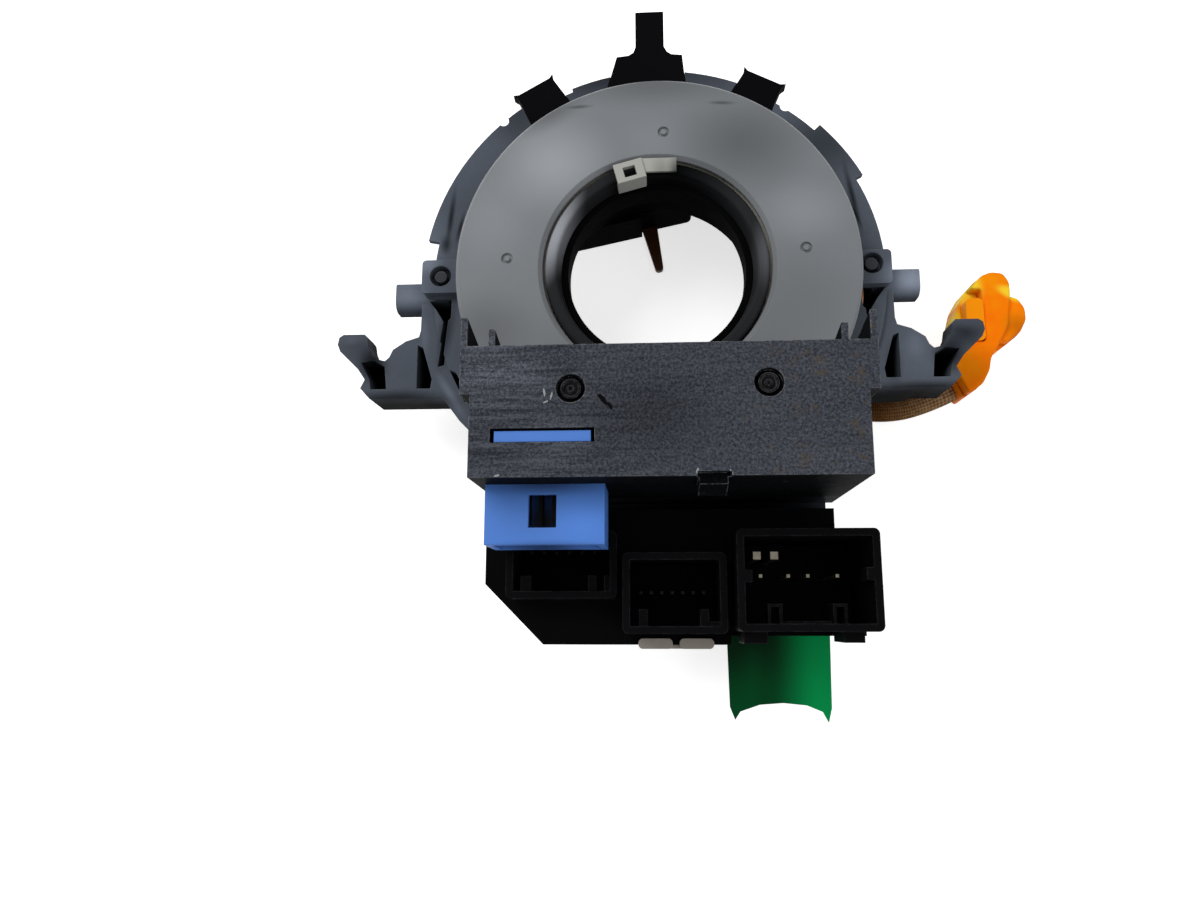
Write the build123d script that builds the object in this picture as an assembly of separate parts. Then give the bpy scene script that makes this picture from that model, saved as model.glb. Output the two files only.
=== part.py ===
from build123d import *
import os
from math import acos, cos, degrees, pi, radians, sin, tan

# Steering clock spring with an angle sensor box on its rear.
# Millimetres. The origin lies on the steering axis, in the middle of the bore land, and +Z
# points to the rear, towards the steering column. The part lies on its front, as on a table.

# Driving dimensions: the axial levels
FLOOR = -28.0                # the plane that the front pieces rest on
ROTOR_BACK = -14.7           # rear face of the rotor's front disc
ROTOR_DISC = 1.8             # thickness of that disc
STATOR_FRONT = -14.0
PARTITION_FACE = -1.0        # rear face of the wall between the cable and the sensor gears
PARTITION_WALL = 1.5
COVER_FACE = 8.0             # rear face of the round back cover
COVER_WALL = 1.5
BOX_HEIGHT = 31.0            # from the back cover to the sensor box's plate
WALL = 1.6                   # general moulded wall

# Driving dimensions: the turned forms, each built on the one inside it
BORE_RADIUS = 20.2
BORE_LENGTH = 6.0
LAND_WALL = 1.5
SLEEVE_WALL = 5.0
RUNNING_GAP = 0.6            # between the rotor and the stator
SLEEVE_RADIUS = BORE_RADIUS + SLEEVE_WALL
SLEEVE_MOUTH = BORE_RADIUS + 2.3
SLEEVE_TOP = COVER_FACE - 1.0
HUB_RADIUS = SLEEVE_RADIUS + 0.8
HUB_RECESS = HUB_RADIUS - 1.5
ROTOR_TURN = 12.0            # the rotor stands turned by this much, in degrees

# Driving dimensions: the sensor gears, whose module follows from the sleeve inside them
DRIVE_TEETH = 56
PINION_TEETH = (14, 13)
PINION_SPREAD = 8            # drive teeth between the two pinions
GEAR_RIM = 1.55              # from the sleeve to the root of the drive gear's teeth
ADDENDUM_SHARE = 0.9
DEDENDUM_SHARE = 1.25
GEAR_MODULE = (SLEEVE_RADIUS + GEAR_RIM) / (DRIVE_TEETH / 2 - DEDENDUM_SHARE)
GEAR_BACKLASH = 0.35
GEAR_BASE = 1.0
GEAR_WIDTH = 3.6
PIN_RADIUS = 1.5
PIN_CLEARANCE = 0.05
MAGNET_RADIUS = 3.0
MAGNET_HEIGHT = 1.5
GEAR_REACH = GEAR_MODULE * (DRIVE_TEETH / 2 + max(PINION_TEETH) + ADDENDUM_SHARE)
GEAR_ROOM = 0.9              # from the gears' outermost teeth to the back cover's skirt

# The back cover over the gears, and the cable drum with its flange round the cover
COVER_RADIUS = GEAR_REACH + GEAR_ROOM + COVER_WALL
COVER_HOLE = SLEEVE_RADIUS + 0.5
DRUM_ROOM = 5.7
STATOR_RADIUS = COVER_RADIUS + DRUM_ROOM
FLANGE_RADIUS = STATOR_RADIUS + 1.4
DISC_RADIUS = STATOR_RADIUS

# Driving dimensions: the sensor box
BOX_LEFT = -36.6
BOX_RIGHT = 39.5
BOX_TOP = -(COVER_HOLE + 2.2)
BOX_STEP = BOX_TOP - 9.1
BOX_BOTTOM = BOX_TOP - 24.6
BOX_INSET = 1.9              # the sides step in by this much below the shoulder
BOX_PLATE = 2.0
BASE_WALL = 1.5

# Driving dimensions: the connector block, which hangs below the drum
BLOCK_LEFT = -36.8
BLOCK_RIGHT = 41.6
BLOCK_TOP = -(STATOR_RADIUS + 5.0)
BLOCK_BOTTOM = BLOCK_TOP - 26.7
BLOCK_CHAMFER = 12.4
BLOCK_CORNER = 5.4
BLOCK_SHOULDER = 3.6
BLOCK_SLANT = 1.0
BLOCK_STEP = 1.8             # the right part of the lower edge lies this much higher
BLOCK_STEP_X = 14.3
BLOCK_WALL = 2.0
SHROUD = 1.5
SOCKET_FLOOR = -2.0

FIT = 0.1                    # clearance between pieces that are fitted together


def block(x, y, z):
    """Box between two coordinates along each axis."""
    size = Box(x[1] - x[0], y[1] - y[0], z[1] - z[0])
    return Pos((x[0] + x[1]) / 2, (y[0] + y[1]) / 2, (z[0] + z[1]) / 2) * size


def rod(radius, z, at=(0, 0)):
    """Upright cylinder between two heights."""
    return Pos(at[0], at[1], (z[0] + z[1]) / 2) * Cylinder(radius, z[1] - z[0])


def ring(outer, inner, z, at=(0, 0)):
    return rod(outer, z, at) - rod(inner, z, at)


def square_pin(place, half, z):
    x, y = place
    return block((x - half, x + half), (y - half, y + half), z)


def prism(points, z):
    """Upright prism over a closed outline."""
    face = make_face(Polyline(*points, close=True))
    return Pos(0, 0, z[0]) * extrude(face, z[1] - z[0])


def turned(profile):
    """Solid of revolution about the axis, from (radius, height) points."""
    face = make_face(Plane.XZ * Polyline(*profile, close=True))
    return revolve(face, Axis.Z)


def polar(radius, angle):
    return (radius * cos(radians(angle)), radius * sin(radians(angle)))


def wedge(reach, angles):
    """Corners of a slice of a disc, from the axis outwards."""
    return [(0, 0)] + [polar(reach, angle) for angle in angles]


def shifted(points, origin):
    return [(x + origin[0], y + origin[1]) for x, y in points]


def mirrored(shape):
    return mirror(shape, about=Plane.YZ)


def rotor_placed(shape):
    """Turns a rotor piece to where the rotor stands."""
    return Rot(0, 0, ROTOR_TURN) * shape


def rotor_point(x, y):
    """Where a point of the rotor stands."""
    turn = radians(ROTOR_TURN)
    return (x * cos(turn) - y * sin(turn), x * sin(turn) + y * cos(turn))


def vertical_fillet(shape, radius):
    return fillet(shape.edges().filter_by(Axis.Z), radius)


os.makedirs("parts", exist_ok=True)
NODES = {}


def keep(name, shape):
    """Writes one named piece."""
    NODES[name] = shape
    export_step(shape, "parts/" + name + ".step")


# Gears: involute flanks drawn as short chords, so that the teeth never bulge
ADDENDUM = ADDENDUM_SHARE * GEAR_MODULE
DEDENDUM = DEDENDUM_SHARE * GEAR_MODULE
PRESSURE = radians(20)
FLANK_STEPS = 3


def involute(angle):
    return tan(angle) - angle


def gear_outline(teeth, start):
    """Closed outline of a gear with a tooth centred on the angle start, in degrees."""
    pitch = GEAR_MODULE * teeth / 2
    base = pitch * cos(PRESSURE)
    root = pitch - DEDENDUM
    tip = pitch + ADDENDUM
    lowest = max(base, root + 0.05)
    half = pi / (2 * teeth) - GEAR_BACKLASH / (4 * pitch)
    flank = []
    for step in range(FLANK_STEPS + 1):
        radius = lowest + (tip - lowest) * step / FLANK_STEPS
        turn = half + involute(PRESSURE) - involute(acos(min(1, base / radius)))
        flank.append((radius, degrees(turn)))
    points = []
    for tooth in range(teeth):
        centre = start + 360 * tooth / teeth
        points.append(polar(root, centre - flank[0][1]))
        points += [polar(radius, centre - turn) for radius, turn in flank]
        points += [polar(radius, centre + turn) for radius, turn in reversed(flank)]
        points.append(polar(root, centre + flank[0][1]))
    return points


DRIVE_PITCH = 360 / DRIVE_TEETH
GEAR_Z = (GEAR_BASE, GEAR_BASE + GEAR_WIDTH)
PINION_ANGLES = (270 - PINION_SPREAD * DRIVE_PITCH / 2, 270 + PINION_SPREAD * DRIVE_PITCH / 2)
PINION_CENTRES = []
for teeth, angle in zip(PINION_TEETH, PINION_ANGLES):
    PINION_CENTRES.append(polar(GEAR_MODULE * (DRIVE_TEETH + teeth) / 2, angle))


# Rotor: the hub with the front disc, the drive pegs and the bore land
DISC_FRONT = ROTOR_BACK - ROTOR_DISC
LAND_FRONT = -BORE_LENGTH / 2
LAND_BACK = BORE_LENGTH / 2
WEB = 2.0
PEG_CIRCLE = DISC_RADIUS - 6.0
PEG_RADIUS = 3.0
PEG_ANGLES = (238, 278)
PEG_CHAMFER = 0.8


def make_rotor_hub():
    profile = [
        (HUB_RECESS, DISC_FRONT), (DISC_RADIUS, DISC_FRONT), (DISC_RADIUS, ROTOR_BACK),
        (HUB_RADIUS, ROTOR_BACK), (HUB_RADIUS, LAND_FRONT),
        (BORE_RADIUS + LAND_WALL, LAND_FRONT), (BORE_RADIUS + LAND_WALL, LAND_BACK),
        (BORE_RADIUS, LAND_BACK), (BORE_RADIUS, LAND_FRONT),
        (HUB_RECESS, LAND_FRONT - WEB),
    ]
    hub = turned(profile)
    for angle in PEG_ANGLES:
        peg = rod(PEG_RADIUS, (FLOOR, DISC_FRONT), polar(PEG_CIRCLE, angle))
        hub += chamfer(peg.edges().filter_by(GeomType.CIRCLE).sort_by(Axis.Z)[0], PEG_CHAMFER)
    return rotor_placed(hub)


# Rotor: the pale index clip, hooked over the sleeve's lip into a slot
CLIP_TURN = 15.0             # how far the clip stands round from the top, in degrees
CLIP_X = (-3.3, 3.3)
CLIP_LEG = 1.0
CLIP_REACH = 4.7
CLIP_SEAT = COVER_FACE + 0.5
CLIP_TOP = CLIP_SEAT + 1.2
CLIP_FOOT = SLEEVE_TOP - 2.2
CLIP_LEG_Y = (BORE_RADIUS, BORE_RADIUS + CLIP_LEG)
CLIP_WINDOW_X = (-1.4, 1.4)
CLIP_WINDOW_Y = (BORE_RADIUS + 1.0, BORE_RADIUS + 3.4)
CLIP_STRIP_X = (-3.4, 4.7)
CLIP_STRIP_Y = (BORE_RADIUS + 1.5, BORE_RADIUS + 4.8)


def make_index_clip():
    leg = block(CLIP_X, CLIP_LEG_Y, (CLIP_FOOT, CLIP_TOP))
    top = block(CLIP_X, (CLIP_LEG_Y[0], CLIP_LEG_Y[0] + CLIP_REACH), (CLIP_SEAT, CLIP_TOP))
    window = block(CLIP_WINDOW_X, CLIP_WINDOW_Y, (CLIP_SEAT, CLIP_TOP))
    strip = block(CLIP_STRIP_X, CLIP_STRIP_Y, (CLIP_SEAT, CLIP_SEAT + 0.6))
    return Rot(0, 0, CLIP_TURN) * (leg + top - window) + strip


# Rotor: the rear sleeve, whose rounded lip shows inside the back cover
LIP_ROUND = 0.9


def make_rotor_sleeve():
    inner = BORE_RADIUS + LAND_WALL + FIT
    profile = [
        (inner, LAND_FRONT), (SLEEVE_RADIUS, LAND_FRONT), (SLEEVE_RADIUS, SLEEVE_TOP),
        (SLEEVE_MOUTH, SLEEVE_TOP), (inner, LAND_BACK),
    ]
    sleeve = turned(profile)
    lip = sleeve.edges().filter_by(GeomType.CIRCLE).sort_by(Axis.Z)[-2:]
    sleeve = fillet(lip, LIP_ROUND)
    slot_x = (CLIP_X[0] - FIT, CLIP_X[1] + FIT)
    slot = block(slot_x, (CLIP_LEG_Y[0], CLIP_LEG_Y[1] + FIT), (CLIP_FOOT, SLEEVE_TOP))
    return sleeve - Rot(0, 0, CLIP_TURN) * slot


# Rotor: the gear that drives the two measuring gears
def make_drive_gear():
    outline = gear_outline(DRIVE_TEETH, PINION_ANGLES[0])
    return prism(outline, GEAR_Z) - rod(SLEEVE_RADIUS + FIT, GEAR_Z)


# Rotor: the connector tower under the front disc, with its pins
TOWER_X = (-20.0, 15.0)
TOWER_Y = (HUB_RECESS - 0.5, DISC_RADIUS - 10.0)
TOWER_WALL = 1.5
TOWER_ROOF = 2.0
TOWER_ROUND = 1.5
TOWER_RIB_X = (TOWER_X[0] + TOWER_ROUND, 1.2)
TOWER_RIB = 1.2
TOWER_PIN_ROWS = 2
TOWER_PIN_COUNT = 8
TOWER_PIN_PITCH = 3.0
TOWER_ROW_PITCH = 4.0
TOWER_PIN = 0.64
TOWER_PIN_DEPTH = 4.6


def make_connector_tower():
    tower = vertical_fillet(block(TOWER_X, TOWER_Y, (FLOOR, DISC_FRONT)), TOWER_ROUND)
    inner_x = (TOWER_X[0] + TOWER_WALL, TOWER_X[1] - TOWER_WALL)
    inner_y = (TOWER_Y[0] + TOWER_WALL, TOWER_Y[1] - TOWER_WALL)
    cavity = block(inner_x, inner_y, (FLOOR, DISC_FRONT - TOWER_ROOF))
    rib = block(TOWER_RIB_X, (TOWER_Y[0] - TOWER_RIB, TOWER_Y[0]), (FLOOR, DISC_FRONT))
    return rotor_placed(tower - cavity + rib)


def make_tower_pins():
    middle = ((TOWER_X[0] + TOWER_X[1]) / 2, (TOWER_Y[0] + TOWER_Y[1]) / 2)
    z = (FLOOR + TOWER_PIN_DEPTH, DISC_FRONT - TOWER_ROOF)
    pins = []
    for row in range(TOWER_PIN_ROWS):
        for column in range(TOWER_PIN_COUNT):
            x = middle[0] + TOWER_PIN_PITCH * (column - (TOWER_PIN_COUNT - 1) / 2)
            y = middle[1] + TOWER_ROW_PITCH * (row - (TOWER_PIN_ROWS - 1) / 2)
            pins.append(square_pin((x, y), TOWER_PIN / 2, z))
    return rotor_placed(Compound(pins))


# Rotor: the brown contact tongue that reaches into the bore from the tower
TONGUE_LENGTH = 12.3
TONGUE_ROOT = 4.0
TONGUE_TIP = 2.0
TONGUE_Z = (FLOOR + 0.5, FLOOR + 2.0)
TONGUE_X = 3.5


def make_contact_tongue():
    root = TOWER_Y[0]
    tip = root - TONGUE_LENGTH
    outline = [
        (TONGUE_X - TONGUE_ROOT / 2, root), (TONGUE_X - TONGUE_TIP / 2, tip),
        (TONGUE_X + TONGUE_TIP / 2, tip), (TONGUE_X + TONGUE_ROOT / 2, root),
    ]
    tongue = prism(outline, TONGUE_Z)
    ends = tongue.edges().filter_by(Axis.Z).sort_by(Axis.Y)[:2]
    return rotor_placed(fillet(ends, 0.9 * TONGUE_TIP / 2))


# Rotor: the lead to the driver's airbag, with its gland and its plug
LEAD_RADIUS = 2.5
LEAD_Z = FLOOR + LEAD_RADIUS + 0.05
GLAND_LENGTH = 3.0
GLAND_WALL = 1.2
GLAND_Y = (TOWER_Y[0] + TOWER_Y[1]) / 2 + 0.5
LEAD_ROUTE = [
    rotor_point(TOWER_X[1] + GLAND_LENGTH, GLAND_Y), rotor_point(TOWER_X[1] + 11, GLAND_Y),
    (29.5, 35.0), (38.0, 28.0), (41.0, 18.5), (39.5, 9.0), (36.5, 0.0), (35.5, -9.6),
    (38.4, -18.8), (45.6, -25.2), (55.2, -27.2), (64.8, -25.6), (72.8, -21.8),
]


def lead_radii():
    """Largest arcs that the runs beside each corner leave room for."""
    radii = []
    for before, corner, after in zip(LEAD_ROUTE, LEAD_ROUTE[1:], LEAD_ROUTE[2:]):
        first = Vector(corner[0] - before[0], corner[1] - before[1])
        second = Vector(after[0] - corner[0], after[1] - corner[1])
        half_turn = radians(first.get_angle(second) / 2)
        radii.append(0.45 * min(first.length, second.length) / tan(half_turn))
    return radii


def make_airbag_lead():
    radii = lead_radii()
    print("lead radii", [round(radius, 1) for radius in radii])
    route = FilletPolyline(*[(x, y, LEAD_Z) for x, y in LEAD_ROUTE], radius=radii)
    start = Plane(origin=route @ 0, z_dir=route % 0)
    lead = sweep(start * Circle(LEAD_RADIUS), path=route)
    full = route.length * pi * LEAD_RADIUS**2
    print("lead length", round(route.length, 1), "volume share", lead.volume / full)
    return lead


def make_lead_gland():
    radius = LEAD_RADIUS + GLAND_WALL
    lying = Rot(0, 90, 0) * Cylinder(radius, GLAND_LENGTH)
    gland = Pos(TOWER_X[1] + GLAND_LENGTH / 2, GLAND_Y, LEAD_Z) * lying
    x = (TOWER_X[1], TOWER_X[1] + GLAND_LENGTH)
    gland &= block(x, (GLAND_Y - radius, GLAND_Y + radius), (FLOOR, DISC_FRONT))
    return rotor_placed(gland)


# The plug is drawn from the end of its lead
PLUG_AT = LEAD_ROUTE[-1]
PLUG_Z = (FLOOR, FLOOR + 11.5)
PLUG_OUTLINE = [
    (-1.4, 2.9), (-1.8, 4.4), (0.6, 16.9), (1.5, 20.4), (3.8, 24.6), (6.3, 27.1), (8.8, 28.0),
    (11.3, 27.1), (12.3, 24.9), (12.8, 22.8), (15.0, 21.6), (16.9, 18.8), (17.0, 15.8), (15.4, 12.6),
    (12.0, 9.9), (8.6, 8.0), (7.2, 6.0), (6.8, 2.6), (5.2, -0.6), (1.4, -2.9),
]
LOCK_X = (2.0, 6.2)
LOCK_Y = (10.3, 20.9)
LOCK_TRAVEL = 2.5
LOCK_RISE = 0.6
LOCK_DEPTH = 3.4


def make_airbag_plug():
    plug = prism(shifted(PLUG_OUTLINE, PLUG_AT), PLUG_Z)
    top = plug.faces().sort_by(Axis.Z)[-1]
    plug = chamfer(top.edges(), 0.6)
    x = (PLUG_AT[0] - 3.0, PLUG_AT[0] + LOCK_X[1] + FIT)
    y = (PLUG_AT[1] + LOCK_Y[0] - FIT, PLUG_AT[1] + LOCK_Y[1] + LOCK_TRAVEL + 2 * FIT)
    return plug - block(x, y, (PLUG_Z[1] - LOCK_DEPTH - FIT, PLUG_Z[1]))


# Rotor: the yellow lock of the plug, which slides along it
def make_plug_lock():
    x = (PLUG_AT[0] + LOCK_X[0], PLUG_AT[0] + LOCK_X[1])
    y = (PLUG_AT[1] + LOCK_Y[0], PLUG_AT[1] + LOCK_Y[1])
    lock = block(x, y, (PLUG_Z[1] - LOCK_DEPTH, PLUG_Z[1] + LOCK_RISE))
    return vertical_fillet(lock, 1.2)


# Stator: the measuring gears and their magnets
def make_measuring_gear(index):
    centre = PINION_CENTRES[index]
    teeth = PINION_TEETH[index]
    facing = PINION_ANGLES[index] + 180
    outline = gear_outline(teeth, facing + 180 / teeth)
    gear = Pos(centre[0], centre[1], 0) * prism(outline, GEAR_Z)
    collar = rod(MAGNET_RADIUS + 1, (GEAR_Z[1], GEAR_Z[1] + MAGNET_HEIGHT / 2), centre)
    pocket = rod(MAGNET_RADIUS, (GEAR_Z[1], GEAR_Z[1] + MAGNET_HEIGHT), centre)
    pin_hole = rod(PIN_RADIUS + PIN_CLEARANCE, (GEAR_Z[0], PIN_TOP + FIT), centre)
    return gear + collar - pocket - pin_hole


def make_magnet(index):
    return rod(MAGNET_RADIUS, (GEAR_Z[1], GEAR_Z[1] + MAGNET_HEIGHT), PINION_CENTRES[index])


# Stator: the black front case, a band round the drum with the mounting tabs
PARTITION_FRONT = PARTITION_FACE - PARTITION_WALL
CASE_WALL = 1.2
CASE_END_Y = 9.0
TAB_THICKNESS = 3.0
MIDDLE_TAB = [
    (-11.4, -1.8), (-9.1, 6.5), (-6.2, 6.8), (-5.0, 7.6), (-4.5, 9.0), (-4.5, 18.5), (2.4, 18.5),
    (2.4, 9.0), (3.1, 7.6), (4.2, 6.8), (6.8, 6.5), (7.6, -1.8),
]
SIDE_TAB = [
    (-1.8, -5.5), (6.0, -4.9), (7.2, -5.5), (6.6, -4.3), (6.6, 4.3), (7.2, 5.5), (6.0, 4.9),
    (-1.8, 5.5),
]
SIDE_TABS = ((62.5, -0.5), (120.2, 0.7))


def case_tabs(grow, z):
    """The three tabs, each drawn from the drum's outer wall and widened by grow."""
    middle = make_face(Polyline(*shifted(MIDDLE_TAB, (0, STATOR_RADIUS)), close=True))
    faces = [middle]
    for angle, out in SIDE_TABS:
        side = make_face(Polyline(*shifted(SIDE_TAB, (STATOR_RADIUS + out, 0)), close=True))
        faces.append(Rot(0, 0, angle) * side)
    tabs = []
    for face in faces:
        if grow:
            face = offset(face, grow, kind=Kind.INTERSECTION)
        tabs.append(Pos(0, 0, z[0]) * extrude(face, z[1] - z[0]))
    return tabs


def make_front_case():
    inner = STATOR_RADIUS + FIT
    case = ring(inner + CASE_WALL, inner, (STATOR_FRONT, PARTITION_FRONT - FIT))
    reach = 2 * STATOR_RADIUS
    case &= block((-reach, reach), (CASE_END_Y, reach), (STATOR_FRONT, PARTITION_FACE))
    for tab in case_tabs(0, (PARTITION_FACE - TAB_THICKNESS, PARTITION_FACE)):
        case += tab
    return case


# Stator: the housing with its flange, lugs, ears and hooked wings
PIN_TOP = GEAR_Z[1] - 0.6
WING_FACE = -2.5
WING_FLOOR = 1.6
WING_SHIFT = {-1: (0.0, 0.0), 1: (-1.4, 0.9)}
HOOK_FRONT = -9.5
HOOK_UNDERCUT = [(14.0, -8.0), (28.0, -8.0), (28.0, -17.6), (14.0, -17.6)]
LUG_X = (-6.0, 4.4)
LUG_Y = (-3.1, 5.0)
LUG_TOP = 1.5
LUG_DEPTH = 2.9
LUG_RECESS = 2.5
LUG_CENTRE_Y = {-1: 1.0, 1: 1.8}
LUG_SHIFT = {-1: -0.75, 1: -2.3}  # the right lug and ear lie nearer to the axis
LUG_ROUND = 1.0
RIVET_RADIUS = 1.4
EAR_REACH = 11.5
EAR_Y = {-1: (-5.8, 1.0), 1: (-4.6, 1.9)}
EAR_Z = (-9.5, -2.2)
EAR_ROUND = (2.6, 1.2)       # below and above
FLANGE_LOBES = ((122, 168.5, 2.7), (68, 112, 0.9), (27, 44, 1.9))
FLANGE_NOTCHES = ((131.5, 2.9), (170.2, 1.6), (25.6, 1.6), (46.0, 1.4), (54.0, 0.6))
NOTCH_RADIUS = 1.3

# Left wing, seen from the rear, its x taken outwards from the drum's outer wall: from the
# ear down round the hook and the spike to the diagonal
WING_OUTLINE = [
    (-2.0, -1.0), (4.4, -1.0), (4.5, -10.8), (4.9, -12.4), (8.0, -13.4), (11.0, -15.4),
    (11.8, -17.2), (12.8, -18.1), (14.5, -17.7), (15.9, -16.6), (16.8, -14.6), (17.2, -12.4),
    (17.9, -11.5), (23.0, -11.5), (24.0, -12.2), (24.3, -13.9), (23.6, -15.6), (19.2, -19.9),
    (17.4, -22.5), (18.4, -24.6), (16.1, -27.1), (-1.2, -27.1), (-3.2, -29.9), (-5.4, -32.8),
    (-9.0, -36.4), (-21.0, -37.0), (-21.0, -10.0),
]
WING_POCKETS = [
    [(18.4, -18.4), (15.4, -18.0), (12.8, -19.4), (12.2, -24.9), (15.9, -24.9), (16.3, -22.4)],
    [(5.1, -14.4), (3.8, -15.0), (1.5, -22.7), (1.8, -24.9), (5.0, -24.9)],
    [
        (2.6, -3.7), (-3.0, -3.7), (-2.9, -8.4), (-2.3, -9.0), (-1.3, -19.4), (0.2, -19.8),
        (-1.2, -9.3), (0.5, -6.5),
    ],
    [(-2.8, -20.8), (-4.4, -21.5), (-7.6, -27.2), (-6.4, -28.4)],
]


def wing_points(side, points):
    """Outline on one side of the part, moved to where that side's wing lies."""
    across, up = WING_SHIFT[side]
    return [(side * (STATOR_RADIUS + across + x), up + y) for x, y in points]


def lug(side):
    base = STATOR_RADIUS + LUG_SHIFT[side]
    body = block((base + LUG_X[0], base + LUG_X[1]), LUG_Y, (STATOR_FRONT, LUG_TOP))
    corners = body.edges().filter_by(Axis.Z).sort_by(Axis.X)[-2:]
    body = fillet(corners, LUG_ROUND)
    ear = block((base, base + EAR_REACH), EAR_Y[side], EAR_Z)
    lengthwise = ear.edges().filter_by(Axis.X).sort_by(Axis.Y)
    ear = fillet(lengthwise[:2], EAR_ROUND[0])
    lengthwise = ear.edges().filter_by(Axis.X).sort_by(Axis.Y)
    ear = fillet(lengthwise[-2:], EAR_ROUND[1])
    return body + ear if side > 0 else mirrored(body + ear)


def lug_centre(side):
    return (side * (STATOR_RADIUS + LUG_SHIFT[side]), LUG_CENTRE_Y[side])


def make_flange():
    """Disc with two wider lobes and small notches in its rim."""
    z = (PARTITION_FRONT, PARTITION_FACE)
    flange = rod(FLANGE_RADIUS, z)
    for first, last, extra in FLANGE_LOBES:
        flange += rod(FLANGE_RADIUS + extra, z) & prism(wedge(2 * STATOR_RADIUS, (first, last)), z)
    for angle, out in FLANGE_NOTCHES:
        flange -= rod(NOTCH_RADIUS, z, polar(FLANGE_RADIUS + out, angle))
    return flange


SKIRT_Y = -30.0
SKIRT_RIGHT = BLOCK_RIGHT - BLOCK_CORNER
PEDESTAL_Y = BOX_TOP - 5.6


def make_stator_housing():
    outer = make_flange()
    for side in (-1, 1):
        outer += prism(wing_points(side, WING_OUTLINE), (STATOR_FRONT, WING_FACE)) + lug(side)
        outer -= prism(wing_points(side, HOOK_UNDERCUT), (STATOR_FRONT, HOOK_FRONT))
    skirt = block((BLOCK_LEFT, SKIRT_RIGHT), (BLOCK_TOP, SKIRT_Y), (STATOR_FRONT, PARTITION_FACE))
    inner_x = (BLOCK_LEFT + WALL, SKIRT_RIGHT - WALL)
    outer += skirt - block(inner_x, (BLOCK_TOP + WALL, SKIRT_Y), (STATOR_FRONT, PARTITION_FRONT))
    outer -= rod(STATOR_RADIUS - WALL / 2, (STATOR_FRONT, PARTITION_FACE))
    outer -= rod(COVER_RADIUS + FIT, (PARTITION_FACE, LUG_TOP))
    wall = ring(STATOR_RADIUS, STATOR_RADIUS - WALL, (STATOR_FRONT, PARTITION_FACE))
    partition = rod(STATOR_RADIUS, (PARTITION_FRONT, PARTITION_FACE))
    pedestal_x = (BOX_LEFT + BOX_INSET, BOX_RIGHT - BOX_INSET)
    pedestal_z = (PARTITION_FACE, COVER_FACE)
    pedestal = block(pedestal_x, (BOX_BOTTOM, PEDESTAL_Y), pedestal_z)
    inner_x = (pedestal_x[0] + WALL, pedestal_x[1] - WALL)
    pedestal -= block(inner_x, (BOX_BOTTOM + WALL, PEDESTAL_Y), pedestal_z)
    housing = wall + partition + outer + pedestal
    housing -= rod(HUB_RADIUS + RUNNING_GAP, (PARTITION_FRONT, PARTITION_FACE))
    for tab in case_tabs(FIT, (PARTITION_FACE - TAB_THICKNESS - FIT, PARTITION_FACE)):
        housing -= tab
    for side in (-1, 1):
        place = lug_centre(side)
        housing -= rod(LUG_RECESS, (LUG_TOP - LUG_DEPTH, LUG_TOP), place)
        for pocket in WING_POCKETS:
            housing -= prism(wing_points(side, pocket), (STATOR_FRONT + WING_FLOOR, PARTITION_FACE))
    for centre in PINION_CENTRES:
        housing += rod(PIN_RADIUS, (PARTITION_FACE, PIN_TOP), centre)
        housing += rod(PIN_RADIUS + 1, (PARTITION_FACE, GEAR_Z[0] - FIT), centre)
    return housing


def make_lug_rivets():
    rivets = []
    for side in (-1, 1):
        rivets.append(rod(RIVET_RADIUS, (LUG_TOP - LUG_DEPTH, LUG_TOP - 0.5), lug_centre(side)))
    return Compound(rivets)


# Stator: the round back cover, a disc with a skirt and three small pips
COVER_BEVEL = 0.9
COVER_CORNER = 0.6
PIPS = ((-33.6, 2.2), (1.9, 32.0), (33.0, 3.1))
PIP_RADIUS = 1.3
PIP_DEPTH = 0.5


def make_back_cover():
    inside = COVER_RADIUS - COVER_WALL
    under = COVER_FACE - COVER_WALL
    profile = [
        (COVER_HOLE + COVER_BEVEL, COVER_FACE), (COVER_RADIUS - COVER_CORNER, COVER_FACE),
        (COVER_RADIUS, COVER_FACE - COVER_CORNER), (COVER_RADIUS, PARTITION_FACE),
        (inside, PARTITION_FACE), (inside, under),
        (COVER_HOLE, under), (COVER_HOLE, COVER_FACE - COVER_BEVEL),
    ]
    cover = turned(profile)
    for place in PIPS:
        cover -= ring(PIP_RADIUS, PIP_RADIUS / 2, (COVER_FACE - PIP_DEPTH, COVER_FACE), place)
    return cover


# Stator: the ribbon cable, wound in half turns about two centres, and its two terminals
CABLE_TURNS = 4
CABLE_START = HUB_RADIUS + 2.6
CABLE_THICKNESS = 0.6
CABLE_MARGIN = 1.8
CABLE_END = STATOR_RADIUS - WALL - CABLE_MARGIN
CABLE_PITCH = (CABLE_END - CABLE_THICKNESS - CABLE_START) / CABLE_TURNS
CABLE_Z = (STATOR_FRONT + 1.0, PARTITION_FRONT - 0.3)
TERMINAL_WIDTH = 6.0


def spiral_edges(offset):
    """Half circles that grow by half a pitch each, from the inside outwards."""
    edges = []
    for half in range(2 * CABLE_TURNS):
        centre = 0 if half % 2 == 0 else CABLE_PITCH / 2
        radius = CABLE_START + half * CABLE_PITCH / 2 + offset
        start = 0 if half % 2 == 0 else 180
        edges.append(CenterArc((centre, 0), radius, start, 180))
    return edges


def make_ribbon_cable():
    inner = spiral_edges(0)
    outer = spiral_edges(CABLE_THICKNESS)
    ends = [Line(inner[0] @ 0, outer[0] @ 0), Line(inner[-1] @ 1, outer[-1] @ 1)]
    face = make_face(Curve() + inner + outer + ends)
    return Pos(0, 0, CABLE_Z[0]) * extrude(face, CABLE_Z[1] - CABLE_Z[0])


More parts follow.
